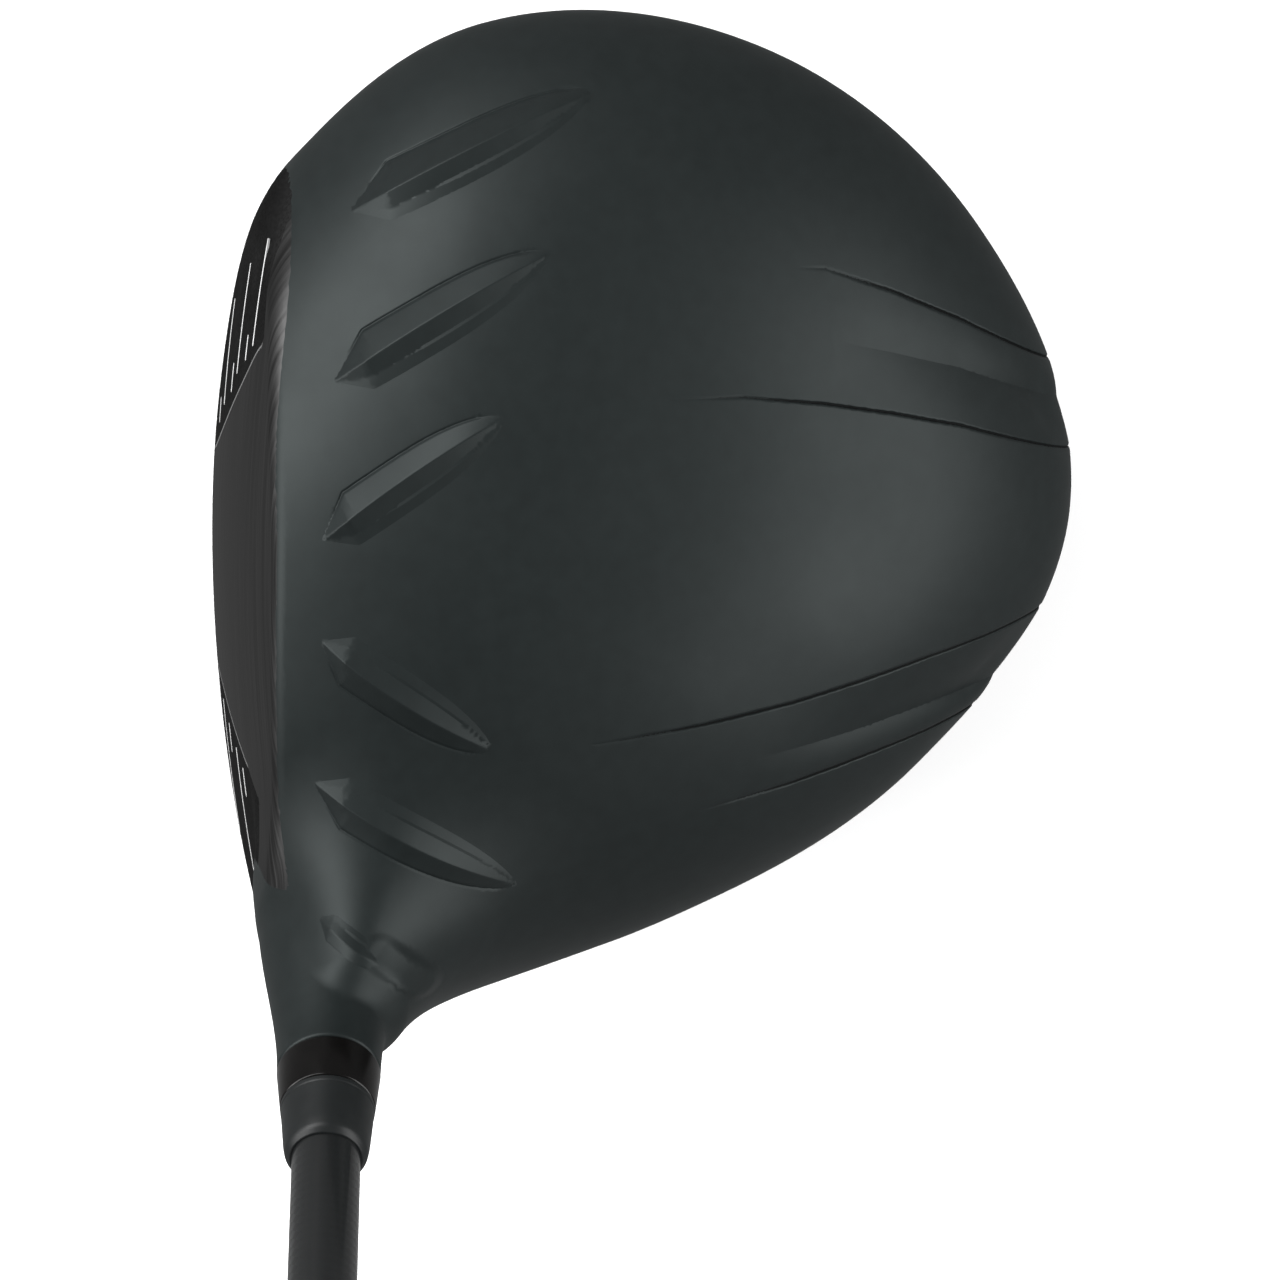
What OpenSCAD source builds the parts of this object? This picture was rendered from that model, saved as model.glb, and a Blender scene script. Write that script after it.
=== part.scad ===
// Golf driver: hollow head, adjustable hosel adapter, tapered shaft and grip.
// Frame: the origin is the centre of the sole's rest pad, on the ground. +Z is up, the face looks
// toward -Y, the toe is at -X, and the shaft leans toward +X from the heel.

/* [Head] */
// Height of the crown's highest point above the ground
crown_h = 61.5; // [58:0.5:65]
// Height of the head's widest line at its centre
equator_h = 24.5; // [22:0.5:27]
// Loft of the face
loft = 11; // [8:0.5:13]
// Radius of the face from heel to toe
bulge_r = 254; // [230:1:330]
// Radius of the face from top to bottom
roll_r = 280; // [250:1:330]
// Wall of the crown and of the sole
shell_t = 1.2; // [0.8:0.1:1.6]
// Thickness of the face plate
face_t = 3; // [2.4:0.1:3.6]
// Height of the ridges on the crown
ridge_h = 1.7; // [1:0.1:2.2]

/* [Hosel and adapter] */
// Angle between the shaft and the ground
lie = 58; // [56:0.5:60]
// Distance along the shaft's axis from the ground to the rim of the neck
rim_s = 77; // [74:0.5:80]
// Diameter of the bore that takes the adapter sleeve
bore_d = 11.1; // [10.9:0.1:11.3]
// Diameter of the neck at its rim
neck_d = 13.8; // [13.6:0.1:14.4]
// Depth of the bore from the rim to the screw shelf
bore_depth = 39; // [34:0.5:40]
// Diameter of the port in the sole that takes the wrench
port_d = 10.6; // [10.2:0.1:11]

/* [Shaft and grip] */
// Length of the club along the shaft's axis, from the ground to the grip's end
club_length = 1149; // [1080:1:1160]
// Diameter of the shaft's tip
tip_d = 9.1; // [8.5:0.1:9.2]
// Diameter of the shaft at its butt
butt_d = 15.2; // [14.6:0.1:15.6]
// Length of the grip
grip_length = 270; // [255:1:280]
// Diameter of the grip at its butt
grip_butt_d = 26.6; // [25.5:0.1:28]

/* [Movable weight] */
// Angle that the weight takes up along its rail
weight_span = 30; // [24:1:32]
// Angle that the weight can slide to each side
weight_travel = 14; // [8:1:16]

/* [Hidden] */
$fn = 96;
eps = 0.01;

// ---- the head's surface ----
// Distance from the crown's centre to the outline, every 30 degrees from the heel (+X) round by
// the rear (+Y) and the toe (-X). In front, the outline runs on past the face, which cuts it off.
outline_r = [63, 61.5, 68.5, 79.5, 77.5, 73.5, 66.5, 54, 51, 60, 64, 67];
outline_step = 30;
equator_tilt = [-1, -2.5];      // how far the widest line drops toward the heel and the rear
crown_power = 0.62;             // fullness of the crown's dome
sole_power = 2.8;               // flatness of the sole
pad_drop = 0.12;                // how much of the sole's lowest curve is flattened into the pad
face_x = 6;                     // centre of the face's curves
face_z = 30;
face_y = -33.6;
rear_steps = 76;                // facets round the rear
front_steps = 36;               // facets along the face
dome_steps = 18;                // facets from the centre to the edge
face_rings = 4;
face_taper = 0.975;             // size of the face plate's front against its back

function cubic(a, b, c, d, t) =
    b + t / 2 * (c - a + t * (2 * a - 5 * b + 4 * c - d + t * (3 * (b - c) + d - a)));
function outline_at(k) = outline_r[(k + 24) % 12];
function outline(a) = let (p = (a + 720) / outline_step, k = floor(p))
    cubic(outline_at(k - 1), outline_at(k), outline_at(k + 1), outline_at(k + 2), p - k);
function equator_z(a) = equator_h + equator_tilt[0] * cos(a) + equator_tilt[1] * sin(a);
// A point on the crown or the sole. q runs from 0 at the centre to 1 at the outline, and in_by is
// how far the surface lies inside the outer one.
function plan(a, q, in_by) = let (r = (outline(a) - in_by) * q) [r * cos(a), r * sin(a)];
function crown_z(a, q, in_by) =
    equator_z(a) + (crown_h - in_by - equator_z(a)) * pow(max(0, 1 - q * q), crown_power);
function sole_z(a, q, in_by) =
    let (drop = equator_z(a) + pad_drop - in_by)
    max(in_by, equator_z(a) - drop * sqrt(max(0, 1 - pow(q, sole_power))));
function dome(a, q, in_by, up) = let (p = plan(a, q, in_by))
    [p[0], p[1], up ? crown_z(a, q, in_by) : sole_z(a, q, in_by)];
function face_at(x, z) = face_y + (z - face_z) * tan(loft)
    + pow(x - face_x, 2) / (2 * bulge_r) + pow(z - face_z, 2) / (2 * roll_r);
// How far a point lies behind the face's surface, set back by back_by
function behind(p, back_by) = p[1] - face_at(p[0], p[2]) - back_by;
function search(a, in_by, up, back_by, low, high, n) = let (mid = (low + high) / 2)
    n == 0 ? mid
    : behind(dome(a, mid, in_by, up), back_by) > 0 ? search(a, in_by, up, back_by, mid, high, n - 1)
    : search(a, in_by, up, back_by, low, mid, n - 1);
function edge_q(a, in_by, up, back_by) =
    behind(dome(a, 1, in_by, up), back_by) > -eps ? 1 : search(a, in_by, up, back_by, 0, 1, 22);
// The angle at which the outline meets the back of the face plate, between two angles
function corner(inside, outside, n) = let (mid = (inside + outside) / 2)
    n == 0 ? inside
    : behind(dome(mid, 1, 0, true), face_t) > 0 ? corner(mid, outside, n - 1)
    : corner(inside, mid, n - 1);
toe_a = corner(180, 250, 22);
heel_a = corner(0, -80, 22);
head_angles = concat(
    [for (i = [0 : rear_steps - 1]) heel_a + (toe_a - heel_a) * i / rear_steps],
    [for (i = [0 : front_steps - 1]) toe_a + (heel_a + 360 - toe_a) * i / front_steps]);
around = rear_steps + front_steps;

function dome_ring(j, in_by, up) = [for (a = head_angles)
    dome(a, edge_q(a, in_by, up, face_t) * sin(90 * j / dome_steps), in_by, up)];
function dome_rings(in_by, up) = [for (j = [1 : dome_steps]) each dome_ring(j, in_by, up)];

// Triangles of a cap made of rings of n points round one centre point
function cap_faces(first, n, rings, flip) = concat(
    [for (i = [0 : n - 1]) let (k = (i + 1) % n)
        flip ? [first, first + 1 + i, first + 1 + k] : [first, first + 1 + k, first + 1 + i]],
    [for (j = [0 : rings - 2], i = [0 : n - 1], side = [0, 1])
        let (k = (i + 1) % n, low = first + 1 + j * n, high = low + n,
            tri = side == 0 ? [low + i, low + k, high + k] : [low + i, high + k, high + i])
        flip ? [tri[2], tri[1], tri[0]] : tri]);
function rim_faces(first_a, first_b, n, flip) = [for (i = [0 : n - 1], side = [0, 1])
    let (k = (i + 1) % n,
        tri = side == 0 ? [first_a + i, first_a + k, first_b + k]
            : [first_a + i, first_b + k, first_b + i])
    flip ? [tri[2], tri[1], tri[0]] : tri];

// A closed shell between two caps that have the same rings
module double_cap(outer_centre, outer, inner_centre, inner, n, rings, flip) {
    count = 1 + n * rings;
    polyhedron(
        points = concat([outer_centre], outer, [inner_centre], inner),
        faces = concat(
            cap_faces(0, n, rings, flip),
            cap_faces(count, n, rings, !flip),
            rim_faces(count - n, 2 * count - n, n, flip)));
}
module dome_shell(up) {
    double_cap(dome(0, 0, 0, up), dome_rings(0, up), dome(0, 0, shell_t, up),
        dome_rings(shell_t, up), around, dome_steps, !up);
}

// ---- the shaft's axis ----
shaft_foot = [28, -19.8, 0];                 // where the axis meets the ground
module on_axis() {
    translate(shaft_foot) rotate([0, 90 - lie, 0]) children();
}
module ring(r_in, r_out, from, to) {
    translate([0, 0, from]) difference() {
        cylinder(r = r_out, h = to - from);
        translate([0, 0, -1]) cylinder(r = r_in, h = to - from + 2);
    }
}
shelf_s = rim_s - bore_depth;
shelf_t = 4;
fit_gap = 0.05;
tube_r = 7.4;
// The neck's outside: radius against distance along the axis, from the root of the flare to the rim
neck_line = [[tube_r, 33], [9.4, 38], [9.6, 46], [9.2, 52], [8.4, 59], [7.5, 66],
    [neck_d / 2 + 0.1, 72], [neck_d / 2, rim_s]];
module neck_outside(low_s) {
    rotate_extrude() polygon(concat([[0, low_s], [tube_r, low_s]], neck_line, [[0, rim_s]]));
}
// A block above the sole's skin where the port opens
port_point = [30, -19, 2.6];
port_slope = 11;
port_turn = -31.5;
module above_sole_at_port() {
    translate(port_point) rotate([0, 0, port_turn]) rotate([0, -port_slope, 0])
        translate([-60, -60, 0]) cube([120, 120, 120]);
}
tube_low_s = -8;

// ---- the hosel screw ----
screw_r = 2.5;
screw_head_r = 4.3;
screw_head_h = 5;
washer_t = 1;
screw_hole_r = 2.7;
washer_s = shelf_s - shelf_t - washer_t;
screw_head_s = washer_s - screw_head_h;
head_room_r = 5;
port_top_s = screw_head_s - 1;
screw_tip_s = shelf_s + 12;
retainer_t = 1.2;
retainer_w = 1.8;
thread_gap = 0.03;
sleeve_low_s = shelf_s + 1.5;
thread_top_s = sleeve_low_s + 11.5;

// ---- adapter, shaft and grip, by distance along the axis ----
collar_top_s = rim_s + 6.9;
collar_top_r = 6.3;
ferrule_shoulder_s = rim_s + 15.2;
ferrule_shoulder_r = 5.65;
ferrule_top_s = rim_s + 16.4;
tip_s = thread_top_s + 1;
tip_end_s = 135;                   // the tip's straight stretch ends here
butt_s = club_length - 4;
tip_bore_r = 2.6;
butt_bore_r = butt_d / 2 - 1.2;
plug_length = 8;
tape_t = 0.25;
grip_mouth_s = club_length - grip_length;
cap_t = 4;
vent_r = 2;
function shaft_r(s) = s < tip_end_s ? tip_d / 2
    : tip_d / 2 + (butt_d - tip_d) / 2 * (s - tip_end_s) / (butt_s - tip_end_s);

// ---- the movable weight, in a rail that follows the rear of the outline ----
rail_centre = [-8, 27];
rail_in_r = 35.5;
rail_out_r = 46.5;
rail_wall = 1.5;
rail_low_z = [6.9, 7.4, 14.4, 16.2];   // the mouth's slope, from the inner wall to the outer one
rail_roof_z = 20.6;
rail_roof_t = 1.4;
lip_z = 17.3;
lip_t = 1.5;
lip_w = 2.5;
rail_turn = 90;                    // the rail's middle is at the rear
rail_half = weight_span / 2 + weight_travel + 1;
rail_end = 2;                      // angle taken up by each closed end
weight_gap = 0.2;
weight_low_z = [7.8, 7.7, 13.4, 14.4]; // the weight's underside, from its inner edge to its outer
weight_bevel = 0.8;
weight_screw_r = 2;
weight_head_r = 3.5;
weight_head_z = [10.4, 13.4];
weight_head_gap = 0.3;
tall = 30;                         // height of a cut that goes right through
clamp_span = 13;
mid_rail_r = (rail_in_r + rail_out_r) / 2;
module along_rail(half_angle) {
    translate([rail_centre[0], rail_centre[1], 0]) rotate([0, 0, rail_turn - half_angle])
        rotate_extrude(angle = 2 * half_angle) children();
}
module at_weight_screw() {
    translate([rail_centre[0], rail_centre[1] + mid_rail_r, 0]) children();
}
module rail_room() {
    along_rail(rail_half + rail_end) translate([rail_in_r - rail_wall, 0])
        square([rail_out_r - rail_in_r + 2 * rail_wall, rail_roof_z + rail_roof_t]);
}

// ---- the crown's ridges: front tip, rear tip, half width, share of the full height ----
ridge_lines = [
    [[-43.5, -17], [-59, 15], 3.6, 1],
    [[-22, -19], [-39, 9.5], 3.9, 1],
    [[-1.5, -20.5], [-18, 3.5], 3.6, 1],
    [[12, -20.8], [27, 1.8], 3.4, 1],
    [[31.7, -22], [46.5, 4.8], 3.2, 1],
    [[49.5, -20.5], [58, -7], 2.8, 0.6]];
ridge_sink = 0.7;
// The point of the crown above p, raised by lift
function on_crown(p, lift) = let (turn = atan2(p[1], p[0]), q = norm(p) / outline(turn))
    [p[0], p[1], crown_z(turn, q, 0) + lift];
// A solid made of rings of n points, one ring after the other
module ringed_solid(points, n) {
    rings = len(points) / n;
    walls = [for (i = [0 : rings - 2], k = [0 : n - 1]) let (m = (k + 1) % n, p = n * i)
        each [[p + k, p + n + k, p + n + m], [p + k, p + n + m, p + m]]];
    front = [for (k = [1 : n - 2]) [0, k, k + 1]];
    last = n * (rings - 1);
    back = [for (k = [1 : n - 2]) [last + k + 1, last + k, last]];
    polyhedron(points = points, faces = concat(front, walls, back));
}
module ridge(line) {
    front = line[0];
    run = line[1] - line[0];
    across = [-run[1], run[0]] / norm(run) * line[2];
    stations = [0, 0.12, 0.3, 0.5, 0.75, 1];
    wide = [0.25, 0.75, 1, 0.92, 0.55, 0.12];
    tall = [0.35, 0.85, 1, 0.9, 0.5, 0];
    ringed_solid([for (i = [0 : 5]) let (p = front + run * stations[i]) each [
        on_crown(p - across * wide[i], -ridge_sink),
        on_crown(p + across * wide[i], -ridge_sink),
        on_crown(p, ridge_h * line[3] * tall[i])]], 3);
}

// ---- the crown's two troughs, which run out over the rear rim. Each is three lines of three
// points, from the front to the rim: its toe-side crease, its deepest line, its other crease ----
trough_lines = [
    [[[-34, 50.5], [-28, 64.5], [-20.5, 79]], [[-27.5, 49.5], [-22, 63.5], [-15, 81]],
        [[-18, 48.5], [-14.8, 63], [-8.3, 82.5]]],
    [[[21.5, 43], [16.3, 62], [12.5, 79.5]], [[28.5, 43], [25, 58.5], [21.6, 74]],
        [[34, 41], [30.5, 54], [26.8, 69.5]]]];
trough_depth = 0.95;
trough_steps = 10;
trough_clear = 4;                  // height of the cut above the crown
function through(line, t) = (1 - t) * (1 - 2 * t) * line[0] + 4 * t * (1 - t) * line[1]
    + t * (2 * t - 1) * line[2];
module trough(lines) {
    ringed_solid([for (i = [0 : trough_steps]) let (t = i / trough_steps) each [
        on_crown(through(lines[2], t), trough_clear),
        on_crown(through(lines[2], t), 0),
        on_crown(through(lines[1], t), -trough_depth * t),
        on_crown(through(lines[0], t), 0),
        on_crown(through(lines[0], t), trough_clear)]], 5);
}

// ---- the pieces ----
module crown_shell() {
    color([0.20, 0.23, 0.23]) difference() {
        union() {
            dome_shell(true);
            for (line = ridge_lines) ridge(line);
        }
        for (lines = trough_lines) trough(lines);
        on_axis() neck_outside(tube_low_s);
    }
}
module sole_shell() {
    color([0.10, 0.11, 0.11]) difference() {
        dome_shell(false);
        on_axis() neck_outside(tube_low_s);
        rail_room();
    }
}

// The face plate's outline is the crown's front edge and, back from the heel, the sole's
face_loop = concat(
    [for (i = [rear_steps : around - 1])
        let (a = head_angles[i]) dome(a, edge_q(a, 0, true, face_t), 0, true)],
    [for (i = [around : -1 : rear_steps + 1])
        let (a = head_angles[i % around]) dome(a, edge_q(a, 0, false, face_t), 0, false)]);
function face_grid(back_by, size) = [for (j = [1 : face_rings], p = face_loop)
    let (t = size * j / face_rings, x = face_x + (p[0] - face_x) * t, z = face_z + (p[2] - face_z) * t)
    [x, face_at(x, z) + back_by, z]];
module face_plate() {
    color([0.25, 0.24, 0.23]) difference() {
        double_cap([face_x, face_y, face_z], face_grid(0, face_taper),
            [face_x, face_y + face_t, face_z], face_grid(face_t, 1),
            2 * front_steps, face_rings, true);
        on_axis() neck_outside(tube_low_s);
    }
}

module hosel_tube() {
    color([0.20, 0.23, 0.23]) intersection() {
        on_axis() difference() {
            neck_outside(tube_low_s);
            translate([0, 0, shelf_s]) cylinder(d = bore_d, h = bore_depth + 1);
            translate([0, 0, port_top_s]) cylinder(r = screw_hole_r, h = bore_depth);
            translate([0, 0, port_top_s]) cylinder(r = head_room_r, h = shelf_s - shelf_t - port_top_s);
            translate([0, 0, tube_low_s - 1]) cylinder(d = port_d, h = port_top_s - tube_low_s + 1);
        }
        above_sole_at_port();
    }
}
module screw_washer() {
    color("silver") on_axis()
        ring(screw_hole_r, head_room_r - fit_gap, washer_s, washer_s + washer_t);
}
module hosel_screw() {
    socket_r = 2.6;
    socket_depth = 3;
    chamfer = 0.5;
    color([0.15, 0.15, 0.16]) on_axis() difference() {
        rotate_extrude() polygon([[0, screw_head_s], [screw_head_r - chamfer, screw_head_s],
            [screw_head_r, screw_head_s + chamfer], [screw_head_r, washer_s], [screw_r, washer_s],
            [screw_r, screw_tip_s - chamfer], [screw_r - chamfer, screw_tip_s], [0, screw_tip_s]]);
        translate([0, 0, screw_head_s - 1]) cylinder(r = socket_r, h = socket_depth + 1, $fn = 6);
    }
}
module screw_retainer() {
    color("white") on_axis() ring(screw_r, screw_r + retainer_w, shelf_s + eps, shelf_s + retainer_t);
}

module weight_track() {
    low = rail_low_z;
    in_wall = rail_in_r - rail_wall;
    out_wall = rail_out_r + rail_wall;
    top = rail_roof_z + rail_roof_t;
    color([0.30, 0.31, 0.32]) difference() {
        along_rail(rail_half + rail_end) polygon([[in_wall, low[0]], [rail_in_r, low[1]],
            [rail_out_r, low[2]], [out_wall, low[3]], [out_wall, top], [in_wall, top]]);
        along_rail(rail_half) polygon([[rail_in_r, 0], [rail_in_r, lip_z],
            [rail_in_r + lip_w, lip_z], [rail_in_r + lip_w, lip_z + lip_t],
            [rail_in_r, lip_z + lip_t], [rail_in_r, rail_roof_z], [rail_out_r, rail_roof_z],
            [rail_out_r, lip_z + lip_t], [rail_out_r - lip_w, lip_z + lip_t],
            [rail_out_r - lip_w, lip_z], [rail_out_r, lip_z], [rail_out_r, 0]]);
    }
}
module movable_weight() {
    in_r = rail_in_r + weight_gap;
    out_r = rail_out_r - weight_gap;
    top = lip_z - weight_gap;
    low = weight_low_z;
    color([0.45, 0.46, 0.48]) difference() {
        along_rail(weight_span / 2) polygon([[in_r, low[0]], [in_r + weight_bevel, low[1]],
            [out_r - weight_bevel, low[2]], [out_r, low[3]], [out_r, top], [in_r, top]]);
        at_weight_screw() cylinder(r = weight_screw_r + 2 * thread_gap, h = tall);
        at_weight_screw()
            cylinder(r = weight_head_r + weight_head_gap, h = weight_head_z[1] + fit_gap);
    }
}
module weight_clamp() {
    gap = 0.3;
    low = lip_z + lip_t + weight_gap;
    color([0.35, 0.36, 0.38]) difference() {
        along_rail(clamp_span / 2) translate([rail_in_r + gap, low])
            square([rail_out_r - rail_in_r - 2 * gap, rail_roof_z - weight_gap - low]);
        at_weight_screw() cylinder(r = weight_screw_r + thread_gap, h = tall);
    }
}
module weight_screw() {
    low = weight_head_z[0];
    top = rail_roof_z - weight_gap;
    chamfer = 0.4;
    socket_r = 1.9;
    socket_depth = 1.8;
    color([0.15, 0.15, 0.16]) at_weight_screw() difference() {
        rotate_extrude() polygon([[0, low], [weight_head_r - chamfer, low],
            [weight_head_r, low + chamfer], [weight_head_r, weight_head_z[1]],
            [weight_screw_r, weight_head_z[1]], [weight_screw_r, top - chamfer],
            [weight_screw_r - chamfer, top], [0, top]]);
        translate([0, 0, low - 1]) cylinder(r = socket_r, h = socket_depth + 1, $fn = 6);
    }
}

// Ribs that stand on the inside of the sole, from a start angle and radius share to an end
rib_ends = [[[-30, -8], [-28, 34]], [[-6, -12], [-7, 42]], [[14, 2], [16, 40]]];
rib_t = 1;
rib_h = 6;
rib_parts = 8;
function rib_point(p, lift) = let (a = atan2(p[1], p[0]), q = norm(p) / (outline(a) - shell_t))
    [p[0], p[1], sole_z(a, q, shell_t) + lift];
module sound_ribs() {
    side = [rib_t / 2, 0];
    color([0.30, 0.31, 0.32]) for (rib = rib_ends) {
        step = (rib[1] - rib[0]) / rib_parts;
        points = [for (i = [0 : rib_parts]) let (p = rib[0] + step * i)
            each [rib_point(p - side, 0.3), rib_point(p + side, 0.3),
                rib_point(p + side, rib_h), rib_point(p - side, rib_h)]];
        walls = [for (i = [0 : rib_parts - 1], k = [0 : 3]) let (m = (k + 1) % 4, b = 4 * i)
            each [[b + k, b + 4 + k, b + 4 + m], [b + k, b + 4 + m, b + m]]];
        last = 4 * rib_parts;
        polyhedron(points = points, faces = concat([[0, 1, 2], [0, 2, 3]], walls,
            [[last + 2, last + 1, last], [last + 3, last + 2, last]]));
    }
}
pad_centre = [-42, 6];
pad_r = 9;
pad_h = 3;
pad_sides = 24;
pad_rings = 3;
// A point of the pad's underside or top, which meet the sole's inside in a low edge
function pad_point(turn, t, top) = rib_point(
    pad_centre + pad_r * t * [cos(turn), sin(turn)], 0.3 + (top ? 0.4 + pad_h * (1 - t * t) : 0));
function pad_grid(top) = [for (j = [1 : pad_rings], i = [0 : pad_sides - 1])
    pad_point(360 * i / pad_sides, j / pad_rings, top)];
module hot_melt_pad() {
    color([0.85, 0.75, 0.45]) double_cap(pad_point(0, 0, true), pad_grid(true),
        pad_point(0, 0, false), pad_grid(false), pad_sides, pad_rings, false);
}

module adapter_sleeve() {
    collar_r = neck_d / 2;
    sleeve_r = bore_d / 2 - fit_gap;
    low_chamfer = 0.6;
    collar_chamfer = 0.2;
    color([0.05, 0.05, 0.05]) on_axis() difference() {
        rotate_extrude() polygon([[0, sleeve_low_s], [sleeve_r - low_chamfer, sleeve_low_s],
            [sleeve_r, sleeve_low_s + low_chamfer], [sleeve_r, rim_s],
            [collar_r - collar_chamfer, rim_s], [collar_r, rim_s + collar_chamfer],
            [collar_top_r + collar_chamfer / 2, collar_top_s - collar_chamfer],
            [collar_top_r - collar_chamfer / 2, collar_top_s], [0, collar_top_s]]);
        translate([0, 0, sleeve_low_s - 1])
            cylinder(r = screw_r + thread_gap, h = thread_top_s - sleeve_low_s + 2);
        translate([0, 0, thread_top_s]) cylinder(d = tip_d, h = tall + bore_depth);
    }
}
module ferrule() {
    edge = 0.12;
    lip = 0.35;
    color([0.16, 0.17, 0.17]) on_axis() difference() {
        rotate_extrude() polygon([[0, collar_top_s], [collar_top_r - edge, collar_top_s],
            [collar_top_r, collar_top_s + edge], [ferrule_shoulder_r + edge, ferrule_shoulder_s - lip],
            [ferrule_shoulder_r, ferrule_shoulder_s], [tip_d / 2 + lip, ferrule_top_s],
            [0, ferrule_top_s]]);
        translate([0, 0, collar_top_s - 1]) cylinder(d = tip_d, h = tall);
    }
}
module shaft() {
    plain_end_r = shaft_r(butt_s);
    chamfer = 0.3;
    color([0.09, 0.10, 0.10]) on_axis() rotate_extrude() polygon([[tip_bore_r, tip_s],
        [tip_d / 2 - chamfer, tip_s], [tip_d / 2, tip_s + chamfer], [tip_d / 2, tip_end_s],
        [plain_end_r, butt_s], [butt_bore_r, butt_s], [tip_bore_r, tip_end_s]]);
}
module tip_plug() {
    color("peru") on_axis() translate([0, 0, tip_s]) cylinder(r = tip_bore_r, h = plug_length);
}
tape_low_s = grip_mouth_s + 4;
module grip_tape() {
    low = shaft_r(tape_low_s);
    high = shaft_r(butt_s);
    color("beige") on_axis() rotate_extrude() polygon([[low, tape_low_s], [low + tape_t, tape_low_s],
        [high + tape_t, butt_s], [high, butt_s]]);
}
module grip() {
    low = shaft_r(grip_mouth_s);
    bore_low = shaft_r(tape_low_s);
    high = shaft_r(butt_s);
    butt_r = grip_butt_d / 2;
    lip_t = [1.3, 2, 2.2];         // wall at the mouth, behind its chamfer and at its first stretch
    lip_s = [0, 1.5, 12];
    butt_flare_s = [14, 4];        // where the butt's flare starts and ends, back from the butt
    flare = 0.5;
    color([0.07, 0.07, 0.07]) on_axis() rotate_extrude() polygon(concat([[low, grip_mouth_s]],
        [for (i = [0 : 2]) [low + lip_t[i], grip_mouth_s + lip_s[i]]],
        [[butt_r - flare, butt_s - butt_flare_s[0]], [butt_r, butt_s - butt_flare_s[1]],
            [butt_r, butt_s], [high + tape_t, butt_s], [bore_low + tape_t, tape_low_s],
            [bore_low, tape_low_s]]));
}
module grip_cap() {
    butt_r = grip_butt_d / 2;
    bead = 0.6;                    // how far the cap's bead stands out past the grip
    crown_in = 2.4;
    color([0.07, 0.07, 0.07]) on_axis() difference() {
        rotate_extrude() polygon([[0, butt_s], [butt_r, butt_s],
            [butt_r + bead, butt_s + cap_t * 0.2], [butt_r + bead / 3, butt_s + cap_t * 0.6],
            [butt_r - crown_in, butt_s + cap_t], [0, butt_s + cap_t]]);
        translate([0, 0, butt_s - 1]) cylinder(r = vent_r, h = cap_t + 2);
    }
}

crown_shell();
sole_shell();
face_plate();
hosel_tube();
screw_washer();
hosel_screw();
screw_retainer();
weight_track();
movable_weight();
weight_clamp();
weight_screw();
sound_ribs();
hot_melt_pad();
adapter_sleeve();
ferrule();
shaft();
tip_plug();
grip_tape();
grip();
grip_cap();
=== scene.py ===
"""Golf driver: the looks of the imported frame. The shape functions work in mm."""
import math
import bpy
import numpy as np
import bmesh
from mathutils import Matrix, Vector


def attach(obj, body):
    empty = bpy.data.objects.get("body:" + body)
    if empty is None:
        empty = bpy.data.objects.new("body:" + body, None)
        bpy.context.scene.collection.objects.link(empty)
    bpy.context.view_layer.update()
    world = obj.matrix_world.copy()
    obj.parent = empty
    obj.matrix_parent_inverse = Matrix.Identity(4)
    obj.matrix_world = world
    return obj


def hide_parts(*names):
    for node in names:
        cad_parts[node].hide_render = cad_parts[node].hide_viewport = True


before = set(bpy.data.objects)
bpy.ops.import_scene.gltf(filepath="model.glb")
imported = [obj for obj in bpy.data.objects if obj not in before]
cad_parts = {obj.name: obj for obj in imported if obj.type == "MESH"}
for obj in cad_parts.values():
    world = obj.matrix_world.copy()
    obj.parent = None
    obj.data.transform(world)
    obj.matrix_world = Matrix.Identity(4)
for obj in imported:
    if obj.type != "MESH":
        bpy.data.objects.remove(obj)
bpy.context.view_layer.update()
MM = 0.001

# ---- the head's surface
# Names that end in _S are places along the shaft's axis, in _R distances from an axis or a centre
CROWN_H = 61.5
EQUATOR_H = 24.5
EQUATOR_TILT = (-1.0, -2.5)
CROWN_POWER = 0.62
SOLE_POWER = 2.8
PAD_DROP = 0.12
OUTLINE = np.array([63, 61.5, 68.5, 79.5, 77.5, 73.5, 66.5, 54, 51, 60, 64, 67.0])
FACE_X, FACE_Z, FACE_Y = 6.0, 30.0, -33.6
LOFT = math.tan(math.radians(11))
BULGE, ROLL = 254.0, 280.0
FOOT = np.array([28.0, -19.8, 0.0])
LIE = math.radians(58)
AXIS = np.array([math.cos(LIE), 0.0, math.sin(LIE)])
SIDE = np.array([0.0, 1.0, 0.0])
LEAN = np.cross(AXIS, SIDE)
RIM_S = 77.0
RIM_R = 6.9
LIP_R = 6.35
NECK_FLARE = 3.3
NECK_RUN = 32.0
NECK_LOW_S = 40.0
NECK_BLEND = 28.5
BLEND_RUN = 12.0
FRONT_BLEND = 5.0
SIDE_LOW, SIDE_HIGH = -1.0, 0.5
PORT_R = 7.45
RAIL_X, RAIL_Y = -8.0, 27.0
RAIL_R = 41.0
RAIL_HALF_W = 7.03
RAIL_HALF_TURN = math.radians(32)
PANEL_R = 28.0
PANEL_HALF_W = (26, 15)
PANEL_FRONT = -5.0
PANEL_SHELF = 5.0
PANEL_SLOPE = 1.0
PANEL_STEP = 0.4


def smooth_min(a, b, k):
    t = np.clip(0.5 + 0.5 * (b - a) / k, 0, 1)
    return b + (a - b) * t - k * t * (1 - t)


def smooth_max(a, b, k):
    return -smooth_min(-a, -b, k)


def ramp(x, low, high):
    t = np.clip((x - low) / (high - low), 0, 1)
    return t * t * (3 - 2 * t)


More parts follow.
